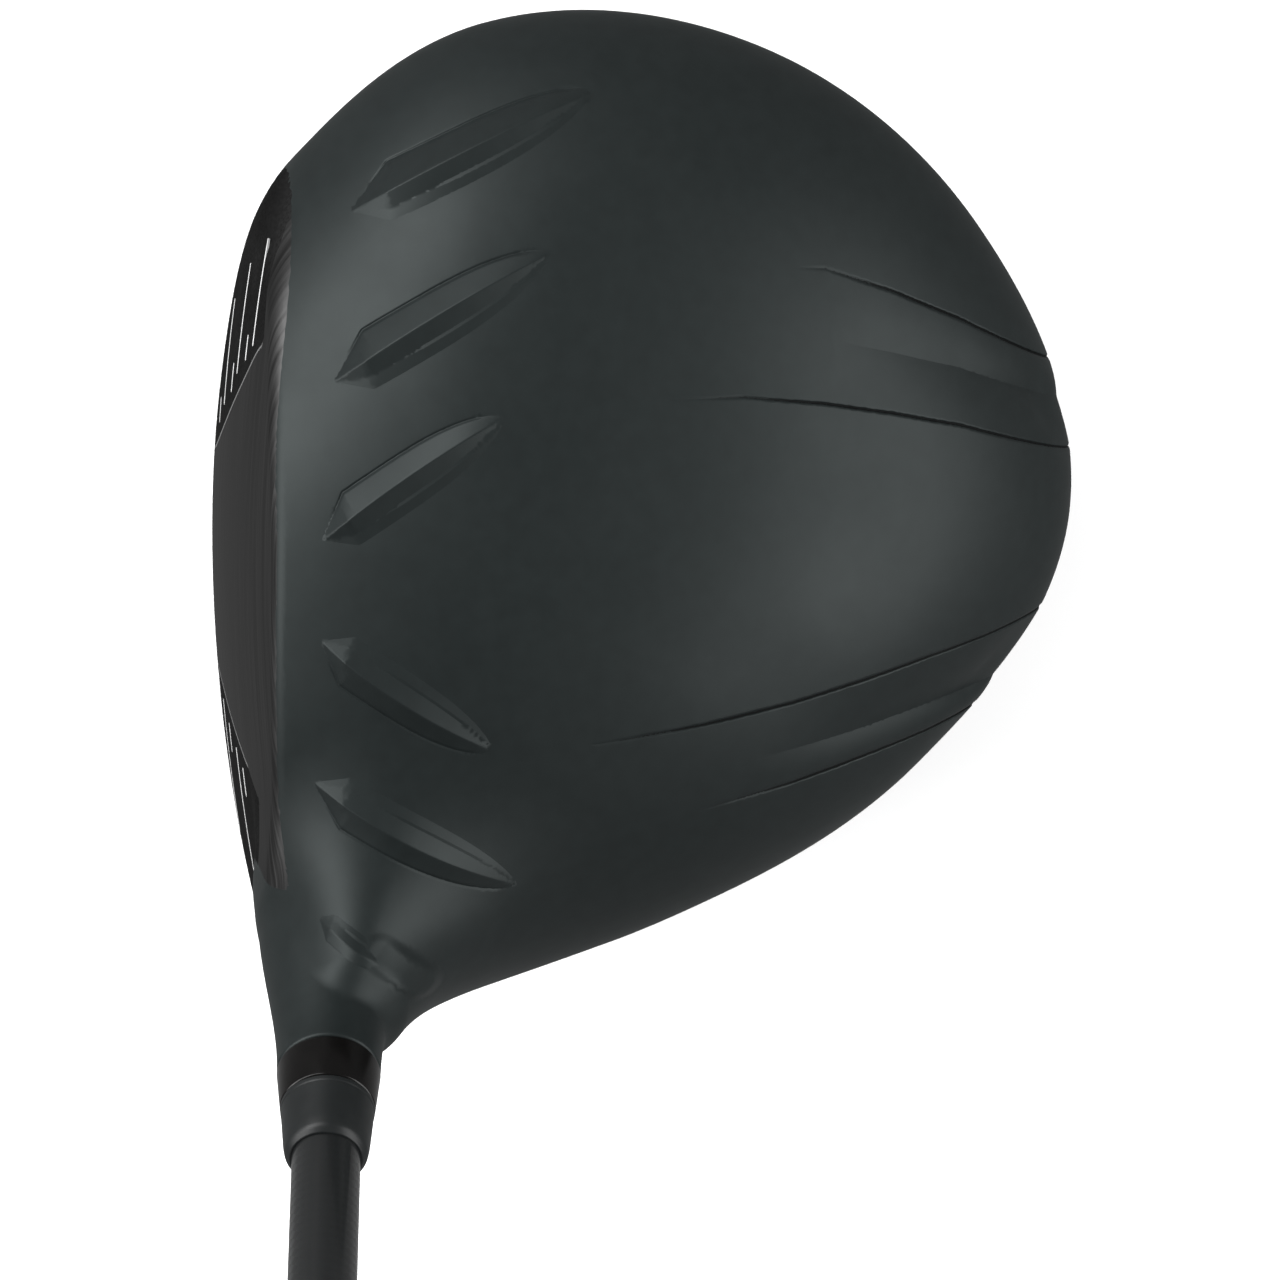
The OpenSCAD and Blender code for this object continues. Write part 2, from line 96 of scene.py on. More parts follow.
def outline(angle):
    p = angle / (math.pi / 6) % 12
    k = np.floor(p).astype(int)
    t = p - k
    a, b, c, d = (OUTLINE[(k + i) % 12] for i in (-1, 0, 1, 2))
    return b + t / 2 * (c - a + t * (2 * a - 5 * b + 4 * c - d + t * (3 * (b - c) + d - a)))


def above_equator(p):
    angle = np.arctan2(p[:, 1], p[:, 0])
    return p[:, 2] - EQUATOR_H - EQUATOR_TILT[0] * np.cos(angle) - EQUATOR_TILT[1] * np.sin(angle)


def face_gap(p):
    """How far a point lies behind the face, along Y."""
    x, y, z = p.T
    bulge = (x - FACE_X) ** 2 / (2 * BULGE)
    roll = (z - FACE_Z) ** 2 / (2 * ROLL)
    return y - FACE_Y - (z - FACE_Z) * LOFT - bulge - roll


def along_axis(p):
    """Distance along the shaft's axis and out from it."""
    rel = p - FOOT
    s = rel @ AXIS
    return s, np.linalg.norm(rel - s[:, None] * AXIS, axis=1)


def neck_gap(p):
    s, r = along_axis(p)
    wall = r - RIM_R - NECK_FLARE * ramp(RIM_S - s, 0, NECK_RUN)
    return smooth_max(wall, NECK_LOW_S - s, 3), s, r


def dome(p):
    x, y, z = p.T
    angle = np.arctan2(y, x)
    radius = outline(angle)
    q = np.hypot(x, y) / radius
    above = above_equator(p)
    up = above >= 0
    level = z - above
    rise = CROWN_H - level
    drop = level + PAD_DROP
    power = 1 / CROWN_POWER
    t = np.abs(above) / np.where(up, rise, drop)
    g = np.where(up, q * q + t ** power, q ** SOLE_POWER + t * t) - 1
    slope_q = np.where(up, 2 * q, SOLE_POWER * q ** (SOLE_POWER - 1)) / radius
    slope_z = np.where(up, power * t ** (power - 1) / rise, 2 * t / drop)
    return g / np.maximum(np.hypot(slope_q, slope_z), 0.012), above


# The crown's ridges: front tip, rear tip, which side is the broad one (1 toe, -1 heel), width
# against the largest, height in mm
RIDGES = [
    ((-43.5, -17.0), (-59.0, 15.0), 1, 0.95, 1.7),
    ((-22.0, -19.0), (-39.0, 9.5), 1, 1.0, 1.8),
    ((-1.5, -20.5), (-18.0, 3.5), 1, 0.95, 1.8),
    ((12.0, -20.8), (27.0, 1.8), -1, 0.95, 1.65),
    ((31.7, -22.0), (46.5, 4.8), -1, 0.95, 1.65),
    ((49.6, -21.2), (56.0, -11.6), -1, 0.5, 0.5)]
RIDGE_REACH = 6.5
LOBE_ENDS = (53.8, -13.2), (58.6, -7.6)
LOBE_R = 2.3
LOBE_H = 0.45


def ridge_frame(ridge, p):
    """Distance along a ridge as a share of its length, and across it toward its broad side."""
    front, rear, side = np.array(ridge[0]), np.array(ridge[1]), ridge[2]
    run = rear - front
    length = np.hypot(*run)
    run = run / length
    rel = p[:, :2] - front
    return rel @ run / length, side * (rel[:, 1] * run[0] - rel[:, 0] * run[1])


def ridge_lines(t, width):
    """Where a ridge's broad edge, crest, ledge and narrow edge lie across it."""
    broad = np.minimum(t * 19.5, 3.9 * np.maximum(1 - np.abs((t - 0.36) / 0.64) ** 3, 0) ** 0.7)
    narrow = np.minimum(t * 26, 3.4 * np.maximum(1 - np.abs((t - 0.32) / 0.68) ** 3, 0) ** 0.7)
    crest = 3.6 * t * (1 - t)
    return broad * width, crest * width, -0.52 * narrow * width, -narrow * width


def ridge_height(ridge, p):
    t, v = ridge_frame(ridge, p)
    broad, crest, ledge, narrow = ridge_lines(t, ridge[3])
    top = ridge[4] * np.minimum(t / 0.17, 1 - np.abs((t - 0.36) / 0.64) ** 2.2)
    low = 0.28 * top
    half = 0.2 * ramp(t, 0.2, 0.4)
    tiny = 1e-6
    out = top * (broad - v) / np.maximum(broad - crest, tiny)
    steep = top - (top - low) * (crest - v) / np.maximum(crest - ledge - half, tiny)
    foot = low * (v - narrow) / np.maximum(ledge - half - narrow, tiny)
    within = smooth_min(out, np.maximum(steep, np.minimum(foot, low)), 0.12)
    groove = 0.09 * ridge[4] * np.exp(-((v - broad) / 0.17) ** 2)
    groove = groove * ramp(t, 0.05, 0.25) * ramp(1 - t, 0, 0.12)
    inside = (t > 0) & (t < 1)
    return np.where(inside, np.maximum(within, 0) - groove, 0)


# The two troughs that run out over the rear rim: X of each line at stations of Y
TROUGHS = [
    {"y": (24, 35, 46, 55, 64, 77, 90), "outer": (-38, -37, -36, -32.5, -28.2, -20.8, -13),
     "deep": (-31, -30, -27, -24.6, -21.8, -16, -10), "inner": (-20, -20, -18.6, -16.8, -14.5, -9.8, -5),
     "start": 47, "rim": 79},
    {"y": (16, 30, 42, 51, 60, 68, 80), "outer": (40, 36.8, 33.7, 31, 28.4, 25.6, 21),
     "deep": (33, 31, 28.7, 26.7, 24.4, 22.6, 19), "inner": (26.4, 24.2, 21.8, 19.5, 17, 15, 11.5),
     "start": 37, "rim": 71}]
TROUGH_DEPTH = 1.9
CREASE_DEPTH = 0.3
CREASE_W = 0.17
# Half width of the strip along each crease that is painted near-black as painted shade, standing in for the
# shadow down in the crease.
CREASE_SHADE_HALF_W = 0.12
CREASE_STARTS = {0: {"outer": (41, 60), "inner": (22, 50)}, 1: {"outer": (27, 48), "inner": (10, 38)}}


def line_x(trough, name, y):
    return np.interp(y, trough["y"], trough[name])


def trough_depth(p, above):
    x, y = p[:, 0], p[:, 1]
    rim_share = 0.3 + 0.7 * ramp(above, 0, 7)
    total = np.zeros(len(p))
    for i, trough in enumerate(TROUGHS):
        outer, deep, inner = (line_x(trough, name, y) for name in ("outer", "deep", "inner"))
        steepening = np.clip((x - outer) / (deep - outer), 0, 2) ** 2
        share = np.minimum(steepening, (inner - x) / (inner - deep))
        run = np.clip((y - trough["start"]) / (trough["rim"] - trough["start"]), 0, 1.2)
        total += TROUGH_DEPTH * rim_share * run * np.clip(share, 0, 1)
        for name, line in (("outer", outer), ("inner", inner)):
            low, high = CREASE_STARTS[i][name]
            total += CREASE_DEPTH * np.exp(-((x - line) / CREASE_W) ** 2) * ramp(y, low, high)
    return total


def crown_detail(p, above):
    """How far the crown stands out past its plain dome."""
    out = np.zeros(len(p))
    upper = p[:, 2] > 15
    for ridge in RIDGES[:-1]:
        t, v = ridge_frame(ridge, p)
        near = upper & (t > -0.05) & (t < 1.05) & (np.abs(v) < RIDGE_REACH)
        if near.any():
            out[near] += ridge_height(ridge, p[near])
    rear = upper & (p[:, 1] > 15)
    out[rear] -= trough_depth(p[rear], above[rear]) * ramp(above[rear], -5, -1)
    return out - 0.12 * np.exp(-(above / 0.22) ** 2) * ramp(face_gap(p), 2.6, 3.6)


def panel_inside(p):
    """Distance inside the edge of the panel sunk into the sole in front of the weight track."""
    from_rail = PANEL_R - np.hypot(p[:, 0] - RAIL_X, p[:, 1] - RAIL_Y)
    from_side = np.interp(p[:, 1], (0, 55), PANEL_HALF_W) - np.abs(p[:, 0] - RAIL_X)
    inside = -smooth_max(-np.where(p[:, 1] > RAIL_Y, from_rail, PANEL_R), -from_side, 8)
    return -smooth_max(-inside, PANEL_FRONT - p[:, 1], 8)


def sole_detail(p):
    """Depth of the sole's panel, which goes down in two steps."""
    inside = panel_inside(p)
    steps = np.clip(inside / PANEL_SLOPE, 0, 1) + np.clip((inside - PANEL_SHELF) / PANEL_SLOPE, 0, 1)
    return PANEL_STEP * steps * ramp(-p[:, 2], -14, -9)


def neck_detail(p):
    """The last ridge stands on the neck: a short crest and a round lobe behind it."""
    out = np.zeros(len(p))
    near = (p[:, 2] > 25) & (p[:, 0] > 44) & (p[:, 0] < 66) & (np.abs(p[:, 1] + 13) < 13)
    q = p[near]
    start, end = np.array(LOBE_ENDS)
    run = end - start
    t = np.clip((q[:, :2] - start) @ run / (run @ run), 0, 1)
    far = np.linalg.norm(q[:, :2] - start - t[:, None] * run, axis=1)
    lobe = LOBE_H * ramp(t, -0.5, 0.8) * ramp(-far, -LOBE_R - 0.5, -LOBE_R + 0.9)
    out[near] = np.maximum(ridge_height(RIDGES[-1], q), lobe)
    return out


def head_field(p, detail=True):
    """Below 0 inside the head, about the distance in mm outside it."""
    plain, above = dome(p)
    plain = smooth_max(plain, -p[:, 2], 0.25)
    if detail:
        plain = plain - crown_detail(p, above) + sole_detail(p)
    gap = face_gap(p)
    edge = 1.4 + 3.4 * ramp(-p[:, 2], -22, -6) + 2.2 * ramp(-p[:, 0], 28, 46)
    body = smooth_max(plain, -gap, edge)
    neck, s, r = neck_gap(p)
    side = (p[:, 1] - FOOT[1]) / np.maximum(r, RIM_R)
    blend = FRONT_BLEND + (NECK_BLEND - FRONT_BLEND) * ramp(side, SIDE_LOW, SIDE_HIGH)
    body = smooth_min(body, neck, 0.5 + blend * ramp(RIM_S - s, 0, BLEND_RUN))
    if detail:
        body = body - neck_detail(p)
    return smooth_max(body, s - RIM_S, 0.5)


# ---- mesh tools
def gradient(field, p, step=0.01):
    out = np.empty_like(p)
    for axis in range(p.shape[1]):
        move = np.zeros(p.shape[1])
        move[axis] = step
        out[:, axis] = (field(p + move) - field(p - move)) / (2 * step)
    return out


def settle(p, field, rounds=3):
    """Moves points onto the surface where field is 0."""
    for _ in range(rounds):
        g = gradient(field, p)
        size = np.maximum((g * g).sum(1), 0.05)
        shift = -(field(p) / size)[:, None] * g
        far = np.linalg.norm(shift, axis=1)
        p = p + shift * np.minimum(1, 1.5 / np.maximum(far, 1e-9))[:, None]
    return p


def surface_net(field, low, high, h):
    """Triangles along the surface where field is 0, one vertex in each cell that it crosses."""
    counts = [int(math.ceil((b - a) / h)) + 1 for a, b in zip(low, high)]
    axes = [a + h * np.arange(n) for a, n in zip(low, counts)]
    grid = np.stack(np.meshgrid(*axes, indexing="ij"), -1).reshape(-1, 3)
    value = np.concatenate([field(block) for block in np.array_split(grid, 24)]).reshape(counts)
    inside = value < 0
    total = np.zeros(value.size * 3).reshape(-1, 3)
    hits = np.zeros(value.size)
    stride = np.array([counts[1] * counts[2], counts[2], 1])
    quads = []
    for axis in range(3):
        near = [slice(None)] * 3
        far = [slice(None)] * 3
        near[axis], far[axis] = slice(0, -1), slice(1, None)
        cross = np.argwhere(inside[tuple(near)] != inside[tuple(far)])
        start = cross @ stride
        a, b = value.ravel()[start], value.ravel()[start + stride[axis]]
        point = grid[start].copy()
        point[:, axis] += h * a / (a - b)
        one, two = [i for i in range(3) if i != axis]
        corners = np.stack([start, start - stride[one], start - stride[one] - stride[two],
                            start - stride[two]], 1)
        for k in range(4):
            np.add.at(total, corners[:, k], point)
            np.add.at(hits, corners[:, k], 1)
        flip = (a < 0) == (axis == 1)
        corners[flip] = corners[flip][:, ::-1]
        quads.append(corners)
    quads = np.concatenate(quads)
    used, quads = np.unique(quads, return_inverse=True)
    quads = quads.reshape(-1, 4)
    verts = total[used] / hits[used][:, None]
    return verts, np.concatenate([quads[:, [0, 1, 2]], quads[:, [0, 2, 3]]])


def edges_of(tris):
    """The mesh's edges, and for each triangle the index of the edge after each of its corners."""
    start = tris.T.ravel()
    end = np.roll(tris, -1, 1).T.ravel()
    count = tris.max() + 1
    keys, index = np.unique(np.minimum(start, end) * count + np.maximum(start, end), return_inverse=True)
    return np.stack([keys // count, keys % count], 1), index.reshape(3, -1).T


def relax(verts, tris, field, rounds):
    for _ in range(rounds):
        edges, _ = edges_of(tris)
        total = np.zeros_like(verts)
        hits = np.zeros(len(verts))
        for a, b in ((0, 1), (1, 0)):
            np.add.at(total, edges[:, a], verts[edges[:, b]])
            np.add.at(hits, edges[:, a], 1)
        shift = total / np.maximum(hits, 1)[:, None] - verts
        normal = gradient(field, verts)
        normal /= np.maximum(np.linalg.norm(normal, axis=1), 1e-9)[:, None]
        shift -= (shift * normal).sum(1)[:, None] * normal
        verts = settle(verts + 0.5 * shift, field, 1)
    return verts


def split_edges(verts, tris, marked, new_points):
    """Splits the marked edges at new_points and the triangles round them to suit."""
    edges, index = edges_of(tris)
    number = np.full(len(edges), -1)
    number[marked] = len(verts) + np.arange(marked.sum())
    mid = number[index]
    cuts = (mid >= 0).sum(1)
    both = np.concatenate([verts, new_points])
    out = [tris[cuts == 0]]
    for turn in range(3):
        a, b, c = (np.roll(tris, -turn, 1)[:, k] for k in range(3))
        ab, bc, ca = (np.roll(mid, -turn, 1)[:, k] for k in range(3))
        one = (cuts == 1) & (ab >= 0)
        out.append(np.stack([a, ab, c], 1)[one])
        out.append(np.stack([ab, b, c], 1)[one])
        two = (cuts == 2) & (ab < 0)
        out.append(np.stack([c, ca, bc], 1)[two])
        across = np.linalg.norm(verts[a] - both[bc], axis=1)
        other = np.linalg.norm(verts[b] - both[ca], axis=1)
        short = two & (across <= other)
        out.append(np.stack([a, b, bc], 1)[short])
        out.append(np.stack([a, bc, ca], 1)[short])
        long = two & (across > other)
        out.append(np.stack([a, b, ca], 1)[long])
        out.append(np.stack([b, bc, ca], 1)[long])
    three = cuts == 3
    a, b, c = tris[three].T
    ab, bc, ca = mid[three].T
    out += [np.stack(t, 1) for t in ((a, ab, ca), (ab, b, bc), (ca, bc, c), (ab, bc, ca))]
    return both, np.concatenate(out)


def refine(verts, tris, field, target, rounds):
    """Splits edges longer than target asks for at their middle."""
    for _ in range(rounds):
        edges, _ = edges_of(tris)
        ends = verts[edges]
        middle = ends.mean(1)
        marked = np.linalg.norm(ends[:, 0] - ends[:, 1], axis=1) > target(middle) * 1.35
        if not marked.any():
            break
        verts, tris = split_edges(verts, tris, marked, settle(middle[marked], field, 2))
    return verts, tris


def cut(verts, tris, locked, field, line, where):
    """Adds vertices and edges along line = 0 on the surface, within the region that where gives."""
    edges, _ = edges_of(tris)
    size = np.linalg.norm(verts[edges[:, 0]] - verts[edges[:, 1]], axis=1)
    shortest = np.full(len(verts), 1e9)
    np.minimum.at(shortest, edges[:, 0], size)
    np.minimum.at(shortest, edges[:, 1], size)
    value = line(verts)
    region = where(verts)
    close = region & ~locked & (np.abs(value) < 0.3 * shortest)
    if close.any():
        p = verts[close]
        for _ in range(2):
            g = gradient(line, p)
            p = p - (line(p) / np.maximum((g * g).sum(1), 0.01))[:, None] * g
            p = settle(p, field, 1)
        good = np.linalg.norm(p - verts[close], axis=1) < 0.5 * shortest[close]
        ids = np.flatnonzero(close)[good]
        verts[ids] = p[good]
        locked[ids] = True
        value[ids] = 0
    value[np.abs(value) < 1e-4] = 0
    a, b = value[edges[:, 0]], value[edges[:, 1]]
    marked = (a * b < 0) & region[edges[:, 0]] & region[edges[:, 1]]
    t = (a / np.where(marked, a - b, 1))[marked]
    start, end = verts[edges[marked, 0]], verts[edges[marked, 1]]
    points = start + t[:, None] * (end - start)
    points = settle(points, field, 2)
    verts, tris = split_edges(verts, tris, marked, points)
    return verts, tris, np.concatenate([locked, np.ones(len(points), bool)])


# ---- the head's mesh
def ridge_line(which, shift):
    """The signed distance across each ridge to one of its lines, moved by shift."""
    def line(p):
        out = np.full(len(p), 50.0)
        for ridge in RIDGES:
            t, v = ridge_frame(ridge, p)
            near = (t > -0.1) & (t < 1.1) & (np.abs(v) < RIDGE_REACH)
            at = ridge_lines(np.clip(t, 0, 1), ridge[3])[which]
            out = np.where(near, v - at - shift, out)
        return out
    return line


def on_ridges(margin):
    def region(p):
        out = np.zeros(len(p), bool)
        for ridge in RIDGES:
            t, v = ridge_frame(ridge, p)
            out |= (t > margin) & (t < 1 - margin) & (np.abs(v) < RIDGE_REACH - 1)
        return out & (p[:, 2] > 22)
    return region


def trough_line(index, name, shift=0.0):
    trough = TROUGHS[index]
    return lambda p: p[:, 0] - line_x(trough, name, p[:, 1]) - shift


def in_trough(start):
    return lambda p: (p[:, 1] > start) & (above_equator(p) > -6) & (p[:, 2] > 10)


def detail_size(p):
    """The edge length wanted at each point of the head."""
    size = np.full(len(p), 1.6)
    for ridge in RIDGES:
        t, v = ridge_frame(ridge, p)
        near = (t > -0.06) & (t < 1.06) & (np.abs(v) < 5) & (p[:, 2] > 22)
        size[near] = 0.5
    rear = (p[:, 1] > 15) & (above_equator(p) > -5)
    for trough in TROUGHS:
        for name in ("outer", "deep", "inner"):
            gap = np.abs(p[:, 0] - line_x(trough, name, p[:, 1]))
            size[rear & (gap < 1.2)] = 0.55
    size = np.minimum(size, 0.65 + 0.35 * np.abs(face_gap(p)))
    s = along_axis(p)[0]
    size = np.where(s > RIM_S - 1.5, 0.4, np.where(s > 50, np.minimum(size, 1.0), size))
    return np.minimum(size, 0.6 + 0.3 * np.abs(above_equator(p)))


FACE_EDGE = 0.45
FACE_PROUD = 2.2
FACE_RISE = 5.0
TOE_WRAP = 1.9
NECK_CLEAR = 1.6


def face_border(p):
    """Below 0 on the face plate's part of the surface, which wraps over the edge at the toe."""
    neck = neck_gap(p)[0]
    gap = face_gap(p)
    reach = FACE_EDGE + TOE_WRAP * ramp(-p[:, 0], 8, 44)
    on_plane = np.maximum(gap - reach, -FACE_PROUD - gap)
    return smooth_max(smooth_max(on_plane, NECK_CLEAR - neck, 1.5), dome(p)[0] - FACE_RISE, 1.5)


def port_border(p):
    return along_axis(p)[1] - PORT_R


def lip_border(p):
    return along_axis(p)[1] - LIP_R


def rail_place(p):
    x, y = p[:, 0] - RAIL_X, p[:, 1] - RAIL_Y
    return np.hypot(x, y), np.arctan2(x, y)


def rail_sides(p):
    return np.abs(rail_place(p)[0] - RAIL_R) - RAIL_HALF_W


def rail_ends(p):
    r, turn = rail_place(p)
    return (np.abs(turn) - RAIL_HALF_TURN) * r


def everywhere(p):
    return np.ones(len(p), bool)


# Which of a ridge's four lines to cut along, how far to its side, and how far from the ridge's ends
RIDGE_CUTS = [
    (0, 0, 0.02), (1, 0, 0.02), (3, 0, 0.03), (2, 0.2, 0.2), (2, -0.2, 0.2), (1, 0.16, 0.08),
    (1, -0.16, 0.08), (0, 0.17, 0.1), (0, -0.17, 0.1), (0, 0.38, 0.12), (0, -0.38, 0.12)]
NET_STEP = 1.45


def head_mesh():
    """The head's closed surface, cut along every line where a crease or a border runs."""
    coarse = lambda p: head_field(p, False)
    verts, tris = surface_net(coarse, (-71, -41, -2), (79, 84, 70), NET_STEP)
    verts = relax(settle(verts, coarse), tris, coarse, 4)
    verts = settle(verts, head_field, 4)
    verts, tris = refine(verts, tris, head_field, detail_size, 3)
    verts = relax(verts, tris, head_field, 2)
    locked = np.zeros(len(verts), bool)
    low_sole = lambda p: (p[:, 2] < 15) & (p[:, 1] < 0)
    on_rim = lambda p: along_axis(p)[0] > RIM_S - 1
    on_face = lambda p: face_gap(p) < 2.6
    by_panel = lambda p: (p[:, 2] < 12) & (panel_inside(p) > -3)
    by_rail = lambda p: (p[:, 2] < 20) & (rail_sides(p) < 3) & (rail_ends(p) < 3) & (p[:, 1] > 45)
    jobs = [(ridge_line(which, shift), on_ridges(margin)) for which, shift, margin in RIDGE_CUTS]
    for index, trough in enumerate(TROUGHS):
        jobs.append((trough_line(index, "deep"), in_trough(trough["start"] + 1)))
        for name in ("outer", "inner"):
            start = CREASE_STARTS[index][name][0]
            for shift in (0, CREASE_SHADE_HALF_W, -CREASE_SHADE_HALF_W, 0.5, -0.5):
                jobs.append((trough_line(index, name, shift), in_trough(start)))
    for level in (0, PANEL_SLOPE, PANEL_SHELF, PANEL_SHELF + PANEL_SLOPE):
        jobs.append((lambda p, level=level: panel_inside(p) - level, by_panel))
    jobs += [(face_border, everywhere), (zone_border, on_face)]
    for level in (0, 0.22, -0.22, 0.5, -0.5):
        jobs.append((lambda p, level=level: above_equator(p) - level, everywhere))
    jobs += [(port_border, low_sole), (lip_border, on_rim), (rail_sides, by_rail), (rail_ends, by_rail)]
    for line, where in jobs:
        verts, tris, locked = cut(verts, tris, locked, head_field, line, where)
    return verts, tris, locked


def corner_normals(verts, tris, locked):
    """The surface's normal at each triangle's corners. On feature lines it's taken just inside
    the triangle, so that creases stay crisp."""
    smooth = gradient(head_field, verts, 0.02)
    corners = verts[tris]
    centre = corners.mean(1, keepdims=True)
    normals = smooth[tris]
    sharp = locked[tris]
    spots = (corners + 0.15 * (centre - corners))[sharp]
    normals[sharp] = gradient(head_field, spots, 0.004)
    return normals / np.maximum(np.linalg.norm(normals, axis=2, keepdims=True), 1e-9)


def new_object(name, data):
    made = bpy.data.objects.new(name, data)
    bpy.context.scene.collection.objects.link(made)
    return made


def make_piece(name, verts, faces, normals=None, smooth=True):
    """A mesh object from points in mm; normals are one for each corner of each face."""
    mesh = bpy.data.meshes.new(name)
    mesh.from_pydata((verts * MM).tolist(), [], faces.tolist() if hasattr(faces, "tolist") else faces)
    mesh.polygons.foreach_set("use_smooth", np.full(len(mesh.polygons), smooth))
    if normals is not None:
        mesh.normals_split_custom_set(normals.reshape(-1, 3).tolist())
    return new_object(name, mesh)


def thick_piece(name, verts, tris, normals, wall):
    """A closed piece: the given surface, the same surface moved inward by wall, and rims."""
    used, index = np.unique(tris, return_inverse=True)
    tris = index.reshape(-1, 3)
    outer = verts[used]
    inward = gradient(head_field, outer, 0.3)
    inward /= np.maximum(np.linalg.norm(inward, axis=1), 1e-9)[:, None]
    inner = outer - inward * wall(outer)[:, None]
    count = len(outer)
    start, end = tris.T.ravel(), np.roll(tris, -1, 1).T.ravel()
    forward = start * count + end
    backward = end * count + start
    rim = ~np.isin(forward, backward)
    a, b = start[rim], end[rim]
    rims = np.concatenate([np.stack([b, a, a + count], 1), np.stack([b, a + count, b + count], 1)])
    points = np.concatenate([outer, inner])
    corners = points[rims]
    flat = np.cross(corners[:, 1] - corners[:, 0], corners[:, 2] - corners[:, 0])
    flat /= np.maximum(np.linalg.norm(flat, axis=1), 1e-12)[:, None]
    faces = np.concatenate([tris, tris[:, ::-1] + count, rims])
    all_normals = np.concatenate([normals, -inward[tris[:, ::-1]], np.repeat(flat[:, None], 3, 1)])
    return make_piece(name, points, faces, all_normals)


THIN_WALL = 0.45
FULL_WALL = 1.1
PLATE_WALL = 2.4


def build_head():
    """The crown, sole and face plate, each a closed shell cut from one smooth surface."""
    verts, tris, locked = head_mesh()
    normals = corner_normals(verts, tris, locked)
    centre = verts[tris].mean(1)
    low = centre[:, 2] < 20
    port = low & (centre[:, 1] < 0) & (port_border(centre) < 0)
    rail = low & (centre[:, 1] > 45) & (rail_sides(centre) < 0) & (rail_ends(centre) < 0)
    lip = (along_axis(centre)[0] > RIM_S - 1) & (lip_border(centre) < 0)
    keep = ~(port | rail | lip)
    face = face_border(centre) < 0
    upper = above_equator(centre) > 0

    def wall(p):
        by_face = ramp(face_gap(p), 0.5, 5)
        by_neck = ramp(-along_axis(p)[0], -60, -48)
        return THIN_WALL + (FULL_WALL - THIN_WALL) * np.minimum(by_face, by_neck)

    pieces = {}
    for name, part in (("crown", keep & ~face & upper), ("sole", keep & ~face & ~upper)):
        pieces[name] = thick_piece(name, verts, tris[part], normals[part], wall)
    part = keep & face
    plate_wall = lambda p: np.full(len(p), PLATE_WALL)
    pieces["face"] = thick_piece("face", verts, tris[part], normals[part], plate_wall)
    return pieces


# ---- marks on the face
TOE_CURVE = ((8.5, 19, 26, 33.5, 43), (-6, -11, -15, -19.5, -26))
HEEL_CURVE = ((4, 14.5, 22, 29, 40), (21, 24.5, 28, 31, 36))
ZONE_TOP = ((-62, -50, -39, -26, 0, 36, 46, 54, 62), (25, 33.5, 39.5, 43.5, 46, 41, 39.5, 37, 33))
# Height, and where the line starts and ends along X
SCORE_LINES = [
    (37, -39, -24.5), (27.5, -34.5, -19.5), (18, -28.5, -14), (33, -25.5, -22), (24, -20.5, -16.5),
    (14, -14.5, -11), (34.5, 36.5, 54), (24.5, 32, 52), (14, 27, 45), (29, 34, 38),
    (19, 29.5, 33.5), (9.5, 24, 28)]


def zone_border(p):
    """Below 0 on the two roughened zones of the face."""
    toe = p[:, 0] - np.interp(p[:, 2], *TOE_CURVE)
    heel = np.interp(p[:, 2], *HEEL_CURVE) - p[:, 0]
    return smooth_max(np.minimum(toe, heel), p[:, 2] - np.interp(p[:, 0], *ZONE_TOP), 0.8)


def inlay(path, half_width, proud=0.03, sunk=0.25):
    """A thin strip let into the face along a path of (x, z) points, with round ends."""
    path = np.array(path, float)
    run = np.gradient(path, axis=0)
    run /= np.linalg.norm(run, axis=1)[:, None]
    ends = np.minimum(np.arange(len(path)), np.arange(len(path))[::-1])
    half = half_width * np.array([0.35, 0.8, 1.0])[np.minimum(ends, 2)][:, None]
    rows = []
    for side, out in ((1, proud), (-1, proud), (-1, -sunk), (1, -sunk)):
        flat = path + side * half * run[:, ::-1] * (-1, 1)
        p = np.stack([flat[:, 0], np.full(len(flat), FACE_Y), flat[:, 1]], 1)
        p[:, 1] -= face_gap(p)
        normal = gradient(head_field, p, 0.05)
        rows.append(p + out * normal / np.linalg.norm(normal, axis=1)[:, None])
    verts = np.stack(rows, 1).reshape(-1, 3)
    count = len(path)
    faces = [(4 * i + k, 4 * i + (k + 1) % 4, 4 * i + 4 + (k + 1) % 4, 4 * i + 4 + k)
             for i in range(count - 1) for k in range(4)]
    last = 4 * (count - 1)
    return verts, faces + [(3, 2, 1, 0), (last, last + 1, last + 2, last + 3)]


def join_parts(parts):
    verts, faces, count = [], [], 0
    for points, sides in parts:
        verts.append(points)
        faces += [tuple(i + count for i in side) for side in sides]
        count += len(points)
    return np.concatenate(verts), faces


def score_lines():
    parts = []
    for z, low, high in SCORE_LINES:
        x = np.concatenate([[low, low + 0.12], np.linspace(low + 0.3, high - 0.3, 12), [high - 0.12, high]])
        parts.append(inlay(np.stack([x, np.full(len(x), z)], 1), 0.24))
    return join_parts(parts)


def zone_lines():
    parts = []
    for (heights, across), low, high in ((TOE_CURVE, 9.5, 43), (HEEL_CURVE, 9.5, 34)):
        z = np.concatenate([[low, low + 0.12], np.linspace(low + 0.3, high - 0.3, 40), [high - 0.12, high]])
        x = np.interp(z, heights, across)
        smooth = np.convolve(np.pad(x, 4, "edge"), np.ones(9) / 9, "valid")
        parts.append(inlay(np.stack([smooth, z], 1), 0.14))
    return join_parts(parts)


# ---- turned pieces
def on_shaft(s, r, turn):
    """Points at distance s along the shaft's axis and r out from it."""
    s, r = np.broadcast_arrays(s, r + 0 * turn)
    around = np.cos(turn)[:, None] * SIDE + np.sin(turn)[:, None] * LEAN
    return FOOT + s[:, None] * AXIS + r[:, None] * around


def full_turn(sides):
    return 2 * math.pi * np.arange(sides) / sides


